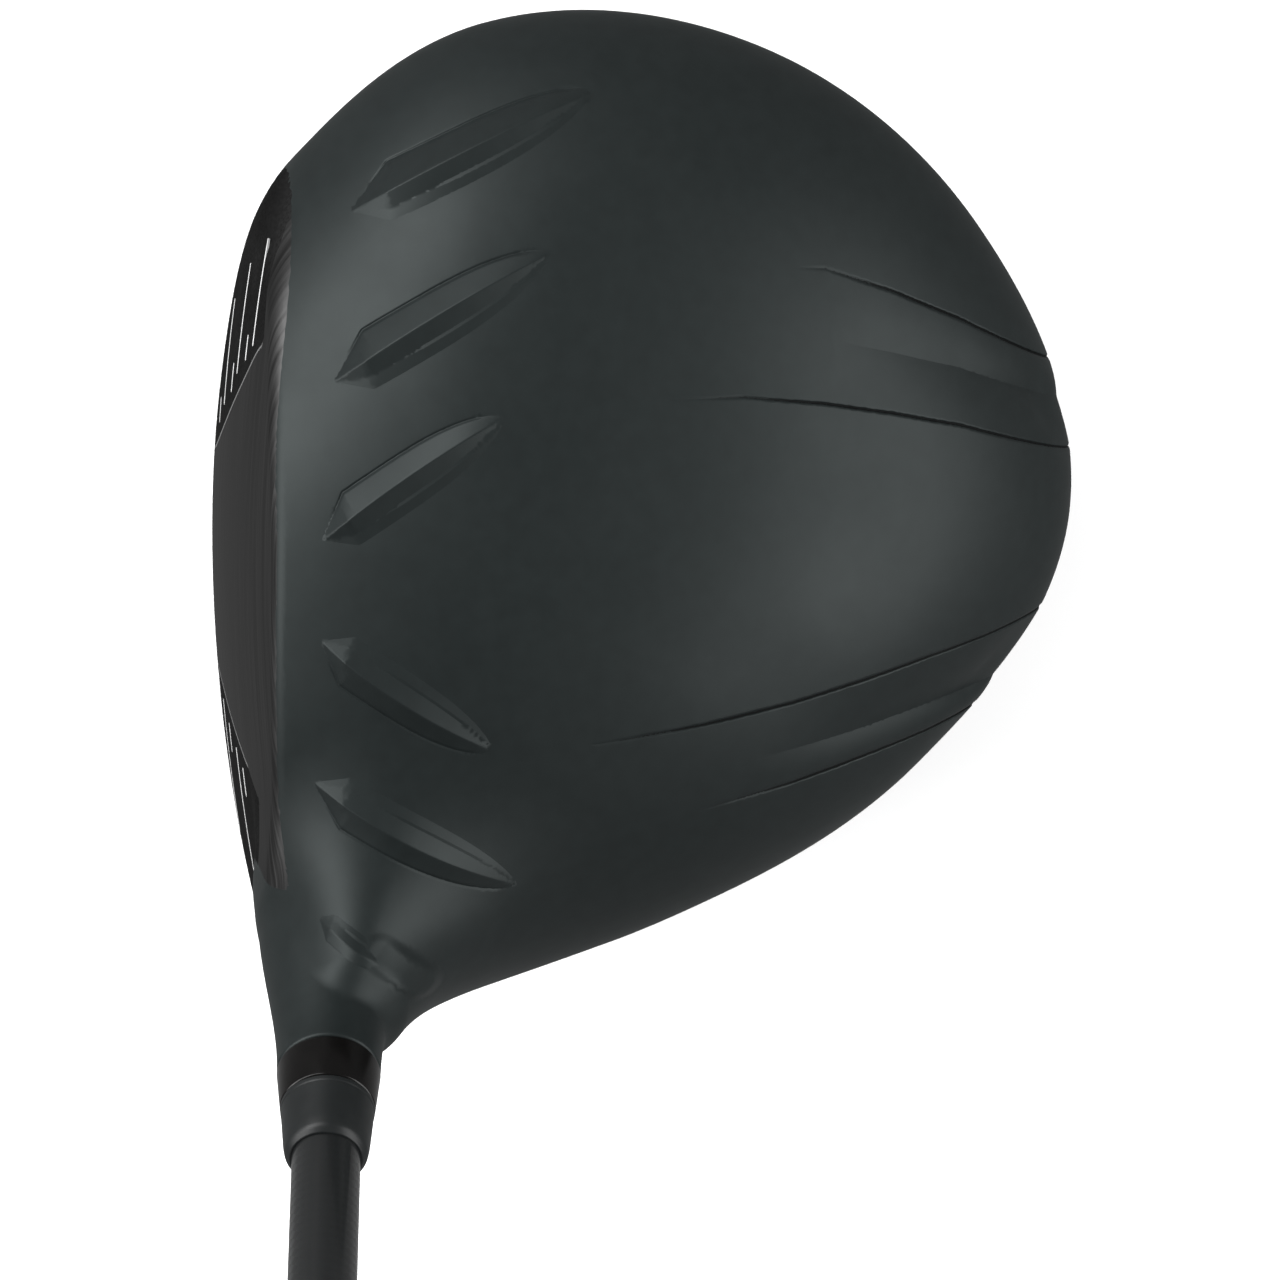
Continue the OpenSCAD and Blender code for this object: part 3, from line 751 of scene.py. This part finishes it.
def spin(name, profile, sides, closed=True, sharp=30):
    """A turned piece. Profile rows of (s, r) run up the outside and, if closed, down the inside;
    each of s and r may be one value or a value for each side."""
    turn = full_turn(sides)
    verts = np.concatenate([on_shaft(np.asarray(s, float) + 0 * turn, r, turn) for s, r in profile])
    rows = len(profile)
    j = np.arange(sides)
    quads = []
    for i in range(rows if closed else rows - 1):
        a, b = i * sides, (i + 1) % rows * sides
        quads.append(np.stack([a + j, a + (j + 1) % sides, b + (j + 1) % sides, b + j], 1))
    faces = np.concatenate(quads).tolist()
    if not closed:
        faces += [list(range(sides))[::-1], list(range((rows - 1) * sides, rows * sides))]
    piece = make_piece(name, verts, faces)
    piece.data.set_sharp_from_angle(angle=math.radians(sharp))
    return piece


def rounded(corners, radius=0.2, steps=3):
    """Rounds the corners of a closed profile; a corner may give its own radius third."""
    out = []
    count = len(corners)
    for i, corner in enumerate(corners):
        before = np.array(corners[i - 1][:2], float)
        here = np.array(corner[:2], float)
        after = np.array(corners[(i + 1) % count][:2], float)
        size = corner[2] if len(corner) > 2 else radius
        back, on = before - here, after - here
        reach = min(size, 0.45 * np.linalg.norm(back), 0.45 * np.linalg.norm(on))
        if reach < 0.02:
            out.append(tuple(here))
            continue
        start = here + back / np.linalg.norm(back) * reach
        end = here + on / np.linalg.norm(on) * reach
        for t in np.linspace(0, 1, steps + 1):
            out.append(tuple((1 - t) ** 2 * start + 2 * t * (1 - t) * here + t * t * end))
    return out


SHELF_S = 38.0
BORE_R = 5.55
SLEEVE_R = 5.5
SLEEVE_LOW_S = 39.5
COLLAR_TOP_S = 83.9
COLLAR_TOP_R = 6.3
FERRULE_TOP_S = 93.4
TIP_R = 4.55
TIP_S = 52.0
TIP_END_S = 135.0
BUTT_S = 1145.0
BUTT_R = 7.6
BUTT_BORE_R = 6.4
TIP_BORE_R = 2.6
GRIP_MOUTH_S = 879.0
GRIP_BUTT_R = 13.3
CAP_T = 3.98
VENT_R = 2.0
WRENCH_R = 5.3
SCREW_R = 2.5
SCREW_HOLE_R = 2.7
SCREW_HEAD_R = 4.3
HEAD_ROOM_R = 5.0
WASHER_S = 33.0
SCREW_HEAD_S = 28.0
SCREW_TIP_S = 50.0
BARREL_R = 7.35


def sole_s(r, turn):
    """How far up the axis the sole's skin lies, at r out from the axis."""
    low, high = np.full(len(turn), -4.0), np.full(len(turn), 20.0)
    for _ in range(24):
        middle = (low + high) / 2
        outside = head_field(on_shaft(middle, r, turn), False) > 0
        low, high = np.where(outside, middle, low), np.where(outside, high, middle)
    return high


def build_barrel():
    sides = 96
    turn = full_turn(sides)
    outer_low, inner_low = sole_s(BARREL_R, turn), sole_s(WRENCH_R, turn)
    profile = [(outer_low + 0.1, BARREL_R), (60, BARREL_R), (66, 6.5), (70, LIP_R - 0.02),
               (RIM_S - 0.15, LIP_R - 0.02), (RIM_S, LIP_R - 0.15), (RIM_S, BORE_R + 0.25),
               (RIM_S - 0.25, BORE_R), (SHELF_S, BORE_R), (SHELF_S, SCREW_HOLE_R + 0.2),
               (SHELF_S - 0.2, SCREW_HOLE_R), (SHELF_S - 4, SCREW_HOLE_R), (SHELF_S - 4, HEAD_ROOM_R),
               (27, HEAD_ROOM_R), (27, WRENCH_R), (inner_low + 0.3, WRENCH_R),
               (inner_low + 0.05, WRENCH_R + 0.3), (outer_low, BARREL_R - 0.12)]
    return spin("hosel_barrel", profile, sides)


def build_adapter():
    """The sleeve with its groove, and the collar that stands on the neck's rim."""
    low = SLEEVE_LOW_S
    profile = [(low, 3.1, 0.3), (low, 4.9, 0.1), (low + 0.6, SLEEVE_R, 0.1),
               (41.4, SLEEVE_R, 0.02), (41.6, SLEEVE_R - 0.25, 0.02), (42.6, SLEEVE_R - 0.25, 0.02),
               (42.8, SLEEVE_R, 0.02), (RIM_S - 0.6, SLEEVE_R, 0.02), (RIM_S - 0.5, SLEEVE_R - 0.2, 0.02),
               (RIM_S + 0.02, SLEEVE_R - 0.2, 0.02), (RIM_S + 0.02, RIM_R - 0.2, 0.02),
               (RIM_S + 0.3, RIM_R, 0.15), (COLLAR_TOP_S - 0.12, COLLAR_TOP_R + 0.04, 0.15),
               (COLLAR_TOP_S, COLLAR_TOP_R - 0.12, 0.02), (COLLAR_TOP_S, TIP_R, 0.02),
               (TIP_S - 1, TIP_R, 0.02), (TIP_S - 1, SCREW_R + 0.03, 0.02),
               (low + 0.4, SCREW_R + 0.03, 0.02)]
    return spin("adapter_sleeve_turned", rounded(profile), 96)


def build_ferrule():
    low, low_r = COLLAR_TOP_S, COLLAR_TOP_R
    profile = [(low, low_r - 0.2, 0.02), (low + 0.16, low_r, 0.2), (low + 0.75, low_r - 0.04, 0.1),
               (low + 0.95, low_r - 0.12, 0.1), (FERRULE_TOP_S - 2.2, 5.72, 0.6),
               (FERRULE_TOP_S - 0.8, 5.5, 0.9), (FERRULE_TOP_S, 4.85, 0.25), (FERRULE_TOP_S, TIP_R, 0.02),
               (low, TIP_R, 0.02)]
    return spin("ferrule_turned", rounded(profile, steps=5), 96)


def shaft_r(s):
    return np.interp(s, (TIP_END_S, BUTT_S), (TIP_R, BUTT_R))


SHAFT_SIDES = 64
WRAP_LENGTH = 28


def build_shaft():
    """The tapered tube. Its UVs, 100 mm to the unit, run along it and once round it for the weave."""
    outer = [(TIP_S, TIP_R - 0.3), (TIP_S + 0.3, TIP_R)]
    outer += [(s, shaft_r(s)) for s in np.linspace(60, BUTT_S - 0.3, 56)] + [(BUTT_S, BUTT_R - 0.3)]
    bore = [(BUTT_S, BUTT_BORE_R), (TIP_END_S, TIP_BORE_R), (TIP_S, TIP_BORE_R)]
    piece = spin("shaft_tube", outer + bore, SHAFT_SIDES)
    layer = piece.data.uv_layers.new(name="wrap")
    corners = np.empty(len(piece.data.loops), int)
    piece.data.loops.foreach_get("vertex_index", corners)
    row, side = corners // SHAFT_SIDES, corners % SHAFT_SIDES
    far = np.array([s for s, r in outer + bore])[row]
    quad = side.reshape(-1, 4)
    at_seam = (quad.max(1, keepdims=True) == SHAFT_SIDES - 1) & (quad == 0)
    around = np.where(at_seam, SHAFT_SIDES, quad).ravel() / SHAFT_SIDES * WRAP_LENGTH
    uv = np.stack([around, far], 1) * 0.01
    layer.data.foreach_set("uv", uv.ravel())
    return piece


def build_hosel_screw():
    """A socket screw with a real thread."""
    sides, low = 48, SCREW_HEAD_S
    turn = full_turn(sides)
    pitch = 0.8
    flat = (turn + math.pi / 6) % (math.pi / 3) - math.pi / 6
    hexagon = 2.25 / np.cos(flat)
    profile = [(low + 3, 0.05), (low + 3, hexagon), (low + 0.35, hexagon),
               (low + 0.02, 2.95), (low, 3.3), (low + 0.05, 3.7),
               (low + 0.5, SCREW_HEAD_R), (WASHER_S - 0.25, SCREW_HEAD_R),
               (WASHER_S, SCREW_HEAD_R - 0.2), (WASHER_S, SCREW_R - 0.05), (39.8, SCREW_R - 0.05)]
    for s in np.arange(40, 49.4, 0.1):
        wave = np.abs((s / pitch - turn / (2 * math.pi)) % 1 - 0.5) * 2
        depth = 0.42 * ramp(s, 40, 40.8) * np.clip(1.25 * wave - 0.1, 0, 1)
        profile.append((s, SCREW_R - 0.02 - depth))
    profile += [(49.6, 2.05), (SCREW_TIP_S, 1.6)]
    return spin("hosel_screw_threaded", profile, sides, closed=False, sharp=40)


GRIP_BANDS = (26, 122), (136, 246)
GRIP_RINGS = (5, 8, 11, 14, 125, 129, 133, 250, 253.5)
RING_W = 0.55
DIAMONDS = 12
DIAMOND_LENGTH = 9.5


def build_grip():
    """The grip: moulded diamonds in two bands, rings at the mouth and the middle."""
    sides, step = 144, 0.65
    turn = full_turn(sides)
    low_end, high_end = GRIP_MOUTH_S, BUTT_S
    wall_s = np.array([0, 1.5, 12, high_end - low_end - 14, high_end - low_end - 4, high_end - low_end])
    low_r, butt_wall = shaft_r(low_end), GRIP_BUTT_R
    wall_r = np.array([low_r + 1.3, low_r + 2, low_r + 2.2, butt_wall - 0.5, butt_wall, butt_wall])
    profile = []
    for s in np.arange(low_end, high_end + 0.01, step):
        along = s - low_end
        plain = np.interp(along, wall_s, wall_r)
        band = max(ramp(along, low, low + 2) * ramp(-along, -high, 2 - high) for low, high in GRIP_BANDS)
        one = np.abs((along / DIAMOND_LENGTH + DIAMONDS * turn / (2 * math.pi)) % 1 - 0.5)
        two = np.abs((along / DIAMOND_LENGTH - DIAMONDS * turn / (2 * math.pi)) % 1 - 0.5)
        groove = np.maximum(ramp(one, 0.38, 0.5), ramp(two, 0.38, 0.5))
        pip = ramp(-np.hypot(one, two), -0.22, -0.1)
        ring = 0.0
        for place in GRIP_RINGS:
            ring = max(ring, math.exp(-((along - place) / RING_W) ** 2))
        profile.append((s, plain - 0.03 - 0.45 * band * groove - 0.22 * band * pip - 0.35 * ring))
    bore = [(high_end, shaft_r(high_end) + 0.25), (low_end + 4, shaft_r(low_end + 4) + 0.25),
            (low_end + 4, shaft_r(low_end + 4)), (low_end, low_r)]
    return spin("grip_moulded", profile + bore, sides, sharp=50)


def build_grip_cap():
    """The end cap, with a ring groove round its vent."""
    top, edge = CAP_T, GRIP_BUTT_R
    corners = [(0, VENT_R, 0.02), (0, edge - 0.1, 0.1), (0.8, edge + 0.35, 0.5), (2.4, edge - 0.05, 0.8),
               (3.5, edge - 1.8, 0.8), (top, edge - 3, 0.5), (top, 9.4, 0.1), (3.6, 9.1, 0.1),
               (3.6, 8.5, 0.1), (top, 8.2, 0.1), (top, 4.6, 0.2), (3.5, 3.9, 0.3), (3.5, VENT_R, 0.3)]
    profile = [(BUTT_S + up, r, radius) for up, r, radius in corners]
    return spin("grip_end_cap", rounded(profile), 96)


SOFTEN_ANGLE = math.radians(28)


def softened(node, name, width):
    """A copy of a CAD node's mesh with its edges rounded."""
    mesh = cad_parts[node].data.copy()
    mesh.materials.clear()
    work = bmesh.new()
    work.from_mesh(mesh)
    bmesh.ops.remove_doubles(work, verts=work.verts, dist=1e-6)
    bmesh.ops.dissolve_limit(work, angle_limit=math.radians(1), verts=work.verts, edges=work.edges)
    edges = [e for e in work.edges if len(e.link_faces) == 2 and e.calc_face_angle() > SOFTEN_ANGLE]
    bmesh.ops.bevel(work, geom=edges, offset=width * MM, segments=2, profile=0.5, affect="EDGES",
                    clamp_overlap=True)
    bmesh.ops.triangulate(work, faces=[f for f in work.faces if len(f.verts) > 4])
    for face in work.faces:
        face.smooth = True
    work.to_mesh(mesh)
    work.free()
    mesh.name = name
    mesh.set_sharp_from_angle(angle=math.radians(30))
    return new_object(name, mesh)


# ---- materials
class Look:
    """A material under construction, with its detail in the object's own coordinates."""

    def __init__(self, name, colour, roughness, metallic=0.0, specular=0.5):
        self.material = bpy.data.materials.new(name)
        self.material.use_nodes = True
        self.tree = self.material.node_tree
        self.shader = self.tree.nodes["Principled BSDF"]
        self.colour = colour
        self.set("Base Color", (*colour, 1))
        self.set("Roughness", roughness)
        self.set("Metallic", metallic)
        self.set("Specular IOR Level", specular)
        self.place = self.add("ShaderNodeTexCoord").outputs["Object"]
        self.height = None

    def set(self, socket, value):
        self.shader.inputs[socket].default_value = value

    def add(self, kind):
        return self.tree.nodes.new(kind)

    def link(self, output, socket):
        self.tree.links.new(output, socket)

    def stretched(self, scale, turn=(0, 0, 0), source=None):
        """The object's coordinates, or source, turned and then scaled along each axis."""
        node = self.add("ShaderNodeMapping")
        node.inputs["Scale"].default_value = scale
        node.inputs["Rotation"].default_value = turn
        self.link(source or self.place, node.inputs["Vector"])
        return node.outputs["Vector"]

    def noise(self, scale, detail, place=None):
        node = self.add("ShaderNodeTexNoise")
        node.inputs["Scale"].default_value = scale
        node.inputs["Detail"].default_value = detail
        node.inputs["Roughness"].default_value = 0.55
        self.link(place or self.place, node.inputs["Vector"])
        return node.outputs["Fac"]

    def spots(self, scale):
        node = self.add("ShaderNodeTexVoronoi")
        node.inputs["Scale"].default_value = scale
        self.link(self.place, node.inputs["Vector"])
        return node.outputs["Distance"]

    def vary(self, socket, source, low, high, start=0.3, end=0.7):
        """Drives a number on the shader from low to high as source goes from start to end."""
        node = self.add("ShaderNodeMapRange")
        for key, value in (("From Min", start), ("From Max", end), ("To Min", low), ("To Max", high)):
            node.inputs[key].default_value = value
        self.link(source, node.inputs["Value"])
        self.link(node.outputs["Result"], self.shader.inputs[socket])

    def tint(self, source, *stops):
        """Drives the base colour through two stops of (position, share of the plain colour)."""
        ramp_node = self.add("ShaderNodeValToRGB")
        for element, (position, share) in zip(ramp_node.color_ramp.elements, stops):
            element.position = position
            element.color = (*(c * share for c in self.colour), 1)
        self.link(source, ramp_node.inputs["Fac"])
        self.link(ramp_node.outputs["Color"], self.shader.inputs["Base Color"])

    def bump(self, source, distance_mm, strength):
        """Adds a height to the surface; calls stack."""
        node = self.add("ShaderNodeBump")
        node.inputs["Strength"].default_value = strength
        node.inputs["Distance"].default_value = distance_mm * MM
        self.link(source, node.inputs["Height"])
        if self.height:
            self.link(self.height, node.inputs["Normal"])
        self.height = node.outputs["Normal"]
        self.link(self.height, self.shader.inputs["Normal"])


def matte_paint():
    look = Look("crown_matte", (0.0062, 0.0080, 0.0081), 0.44, specular=0.18)
    look.set("Specular Tint", (0.90, 0.99, 0.98, 1))
    look.tint(look.noise(420, 4), (0.3, 0.9), (0.7, 1.1))
    look.vary("Roughness", look.noise(60, 4), 0.43, 0.50)
    look.bump(look.noise(1400, 2), 0.012, 0.5)
    return look.material


# Painted shade: a near-black paint for the crown's faces along the creases, standing in for the shadow in
# the crease gaps.
def crease_shade_paint():
    look = Look("crease_painted_shade", (0.0022, 0.0025, 0.0025), 0.6, specular=0.08)
    look.tint(look.noise(420, 4), (0.3, 0.8), (0.7, 1.2))
    look.vary("Roughness", look.noise(60, 4), 0.55, 0.65)
    look.bump(look.noise(1400, 2), 0.012, 0.5)
    return look.material


def satin_black():
    look = Look("body_black", (0.010, 0.011, 0.011), 0.34, specular=0.45)
    look.tint(look.noise(90, 3), (0.35, 0.9), (0.65, 1.12))
    look.vary("Roughness", look.noise(45, 5), 0.30, 0.40)
    look.bump(look.noise(900, 2), 0.008, 0.5)
    return look.material


def brushed_face():
    look = Look("face_metal", (0.05, 0.05, 0.05), 0.42, 1.0)
    look.set("Specular Tint", (0.60, 0.60, 0.60, 1))
    lines = look.noise(1, 3, look.stretched((25, 60, 2600)))
    look.tint(lines, (0.3, 0.75), (0.7, 1.25))
    look.vary("Roughness", lines, 0.36, 0.52)
    look.bump(lines, 0.01, 0.6)
    return look.material


def blasted_face():
    look = Look("face_zone", (0.020, 0.020, 0.020), 0.62, 1.0)
    look.set("Specular Tint", (0.20, 0.20, 0.20, 1))
    look.vary("Roughness", look.noise(120, 3), 0.56, 0.68)
    look.tint(look.spots(2200), (0.1, 0.8), (0.7, 1.3))
    look.bump(look.spots(2600), 0.03, 0.7)
    return look.material


def mark_paint(name, colour):
    look = Look(name, colour, 0.42, 0.2)
    look.tint(look.noise(700, 3), (0.3, 0.85), (0.7, 1.05))
    look.vary("Roughness", look.noise(500, 2), 0.36, 0.5)
    look.bump(look.noise(1500, 2), 0.01, 0.4)
    return look.material


def turned_metal(name, colour, roughness):
    """Metal with fine lathe rings round the shaft's axis."""
    look = Look(name, colour, roughness, 1.0)
    along = look.stretched((1, 1, 1), (0, LIE - math.pi / 2, 0))
    lines = look.noise(1, 3, look.stretched((12, 12, 9000), source=along))
    look.tint(lines, (0.3, 0.85), (0.7, 1.12))
    look.vary("Roughness", lines, roughness * 0.85, roughness * 1.2)
    look.bump(lines, 0.006, 0.5)
    return look.material


def gloss_anodised():
    look = Look("adapter_black", (0.0022, 0.0020, 0.0019), 0.2, specular=0.18)
    look.vary("Roughness", look.noise(240, 4), 0.16, 0.24)
    look.tint(look.noise(300, 3), (0.3, 0.85), (0.7, 1.2))
    look.bump(look.noise(1300, 2), 0.003, 0.4)
    return look.material


def satin_plastic():
    look = Look("ferrule_grey", (0.0062, 0.0072, 0.0074), 0.36, specular=0.2)
    look.vary("Roughness", look.noise(180, 4), 0.36, 0.45)
    look.tint(look.noise(500, 3), (0.3, 0.92), (0.7, 1.08))
    look.bump(look.noise(1600, 2), 0.006, 0.5)
    return look.material


def coated_composite():
    """Clear coat over a fine weave that wraps the shaft."""
    look = Look("shaft_composite", (0.005, 0.0056, 0.0058), 0.36, specular=0.2)
    look.set("Coat Weight", 0.7)
    look.set("Coat Roughness", 0.1)
    look.set("Coat IOR", 1.35)
    wrap = look.add("ShaderNodeTexCoord").outputs["UV"]
    weave = look.add("ShaderNodeTexChecker")
    weave.inputs["Scale"].default_value = 90
    weave.inputs["Color1"].default_value = (0.0045, 0.005, 0.0052, 1)
    weave.inputs["Color2"].default_value = (0.0055, 0.0062, 0.0064, 1)
    look.link(look.stretched((1, 1, 1), (0, 0, math.radians(45)), wrap), weave.inputs["Vector"])
    look.link(weave.outputs["Color"], look.shader.inputs["Base Color"])
    look.vary("Roughness", weave.outputs["Fac"], 0.3, 0.42, 0, 1)
    look.bump(look.noise(70, 2), 0.01, 0.3)
    return look.material


def black_oxide():
    look = Look("screw_steel", (0.030, 0.030, 0.033), 0.38, 0.9)
    look.vary("Roughness", look.noise(600, 4), 0.3, 0.48)
    look.tint(look.noise(350, 4), (0.3, 0.75), (0.72, 1.3))
    look.bump(look.noise(1800, 2), 0.005, 0.5)
    return look.material


def cast_metal(name, colour, roughness, grain=900):
    look = Look(name, colour, roughness, 0.9)
    look.vary("Roughness", look.noise(220, 4), roughness * 0.85, roughness * 1.2)
    look.tint(look.noise(grain, 4), (0.3, 0.82), (0.7, 1.15))
    look.bump(look.spots(grain * 1.6), 0.02, 0.5)
    return look.material


def soft_plastic(name, colour, roughness, scale=300):
    look = Look(name, colour, roughness)
    look.vary("Roughness", look.noise(scale, 3), roughness * 0.85, min(1, roughness * 1.2))
    look.tint(look.noise(scale * 0.6, 4), (0.3, 0.9), (0.7, 1.08))
    look.bump(look.noise(scale * 2, 3), 0.02, 0.5)
    return look.material


def paper_tape():
    look = Look("tape", (0.66, 0.60, 0.48), 0.8)
    fibre = look.noise(1, 5, look.stretched((900, 900, 2400)))
    look.tint(fibre, (0.3, 0.85), (0.7, 1.1))
    look.vary("Roughness", fibre, 0.72, 0.9)
    look.bump(fibre, 0.03, 0.6)
    return look.material


def moulded_rubber():
    look = Look("grip_rubber", (0.012, 0.012, 0.0125), 0.66, specular=0.4)
    look.tint(look.noise(160, 4), (0.3, 0.85), (0.7, 1.2))
    look.vary("Roughness", look.noise(90, 4), 0.58, 0.76)
    look.bump(look.noise(900, 3), 0.05, 0.6)
    return look.material


# ---- the pieces, made and placed
def show(piece, body, material, slot, *nodes):
    piece.data.materials.append(material)
    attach(piece, body)
    if nodes:
        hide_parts(*nodes)


def paint_part(piece, material, where):
    """Gives the faces whose centres lie within where a second material."""
    mesh = piece.data
    mesh.materials.append(material)
    middles = np.empty(len(mesh.polygons) * 3)
    mesh.polygons.foreach_get("center", middles)
    mesh.polygons.foreach_set("material_index", where(middles.reshape(-1, 3) / MM).astype(int))


# The crown's faces along the trough creases that take the painted shade.
def in_crease_shade(p):
    found = np.zeros(len(p), bool)
    for index, starts in CREASE_STARTS.items():
        for name, (low, high) in starts.items():
            far = np.abs(p[:, 0] - line_x(TROUGHS[index], name, p[:, 1]))
            found |= (far < CREASE_SHADE_HALF_W * ramp(p[:, 1], low, high)) & (p[:, 1] > low)
    return found & (above_equator(p) > -4)


def finish_node(node, material):
    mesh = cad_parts[node].data
    mesh.materials.clear()
    mesh.materials.append(material)


paint, black, plate = matte_paint(), satin_black(), brushed_face()
bright = turned_metal("washer_steel", (0.55, 0.55, 0.56), 0.3)
oxide, nylon = black_oxide(), soft_plastic("nylon", (0.75, 0.74, 0.69), 0.5)
rail = cast_metal("rail_metal", (0.16, 0.165, 0.17), 0.5)
dense = cast_metal("dense_weight", (0.30, 0.30, 0.31), 0.36, 1400)
rubber = moulded_rubber()

head = build_head()
show(head["crown"], "head", paint, "crown_matte", "crown_shell")
show(head["sole"], "head", black, "body_black", "sole_shell")
show(head["face"], "head", plate, "face_metal", "face_plate")
paint_part(head["face"], blasted_face(), lambda p: zone_border(p) < 0)
# Painted shade: the faces along the creases get the near-black material in place of the shadow in the
# crease gaps.
paint_part(head["crown"], crease_shade_paint(), in_crease_shade)
for name, lines, grey in (("face_marks", score_lines(), 0.56), ("zone_lines", zone_lines(), 0.11)):
    show(make_piece(name, *lines, smooth=False), "head", mark_paint(name, (grey, grey, grey)), "face_metal")
barrel_metal = turned_metal("hosel_steel", (0.10, 0.105, 0.108), 0.36)
show(build_barrel(), "head", barrel_metal, "crown_matte", "hosel_tube")
show(build_adapter(), "club_shaft", gloss_anodised(), "adapter_black", "adapter_sleeve")
show(build_ferrule(), "club_shaft", satin_plastic(), "ferrule_grey", "ferrule")
show(build_shaft(), "club_shaft", coated_composite(), "shaft_composite", "shaft")
show(build_grip(), "club_shaft", rubber, "grip_rubber", "grip")
show(build_grip_cap(), "club_shaft", rubber, "grip_rubber", "grip_cap")
show(build_hosel_screw(), "screw", oxide, "screw_steel", "hosel_screw")
show(softened("weight_track", "weight_rail", 0.25), "head", rail, "rail_metal", "weight_track")
show(softened("movable_weight", "sliding_weight", 0.3), "weight", dense, "dense_weight", "movable_weight")
show(softened("weight_clamp", "weight_clamp_plate", 0.2), "weight", bright, "washer_steel", "weight_clamp")
weight_screw = softened("weight_screw", "weight_clamp_screw", 0.12)
show(weight_screw, "clamp_screw", oxide, "screw_steel", "weight_screw")
for node, material in (
        ("screw_washer", bright), ("screw_retainer", nylon), ("sound_ribs", rail),
        ("hot_melt_pad", soft_plastic("glue", (0.62, 0.50, 0.24), 0.35, 120)),
        ("tip_plug", soft_plastic("plug", (0.45, 0.34, 0.20), 0.7, 500)), ("grip_tape", paper_tape())):
    finish_node(node, material)


# ---- floor, light and camera
def soft_light(name, place, target, size, power):
    data = bpy.data.lights.new(name, "AREA")
    data.shape = "RECTANGLE"
    data.size, data.size_y = size
    data.energy = power
    lamp = new_object(name, data)
    lamp.location = place
    lamp.visible_camera = False
    lamp.rotation_euler = (Vector(target) - Vector(place)).to_track_quat("-Z", "Y").to_euler()


FLOOR_REACH = 6000
FLOOR_Z = -0.5
floor_signs = np.array([(-1, -1, 0), (1, -1, 0), (1, 1, 0), (-1, 1, 0)])
floor_corners = floor_signs * FLOOR_REACH + (0, 0, FLOOR_Z)
floor = make_piece("floor", floor_corners, [(0, 1, 2, 3)], smooth=False)
pale = Look("floor_pale", (0.92, 0.92, 0.92), 0.9, specular=0.1)
pale.vary("Roughness", pale.noise(6, 2), 0.85, 0.95)
floor.data.materials.append(pale.material)
floor.visible_glossy = False

scene = bpy.context.scene
scene.world = bpy.data.worlds.new("studio")
scene.world.use_nodes = True
sky = scene.world.node_tree.nodes["Background"]
sky.inputs["Color"].default_value = (1, 1, 1, 1)
sky.inputs["Strength"].default_value = 0.30
middle = (0.0, 0.02, 0.03)
soft_light("front_strip", (-0.14, -0.74, 0.52), middle, (1.2, 0.50), 18)
soft_light("toe_strip", (-0.66, -0.42, 0.42), middle, (0.50, 0.45), 6)
soft_light("rear_strip", (0.10, 0.76, 0.52), middle, (1.35, 0.50), 15)
scene.view_settings.view_transform = "Standard"

TILT = math.radians(9)
DISTANCE = 1.5
VIEW_WIDTH = 0.17297
SENSOR_W = 36
aim = Vector((0.017, 0.0214, 0.026))
toward = Vector((-math.sin(TILT), 0, math.cos(TILT)))
down = Vector((math.cos(TILT), 0, math.sin(TILT)))
across = Vector((0, 1, 0))
camera_data = bpy.data.cameras.new("camera")
camera_data.sensor_width = SENSOR_W
camera_data.lens = SENSOR_W * DISTANCE / VIEW_WIDTH
camera_data.clip_end = 30
camera = new_object("camera", camera_data)
turn = np.array([across, -down, toward]).T
camera.matrix_world = Matrix.Translation(aim + DISTANCE * toward) @ Matrix(turn.tolist()).to_4x4()
scene.camera = camera
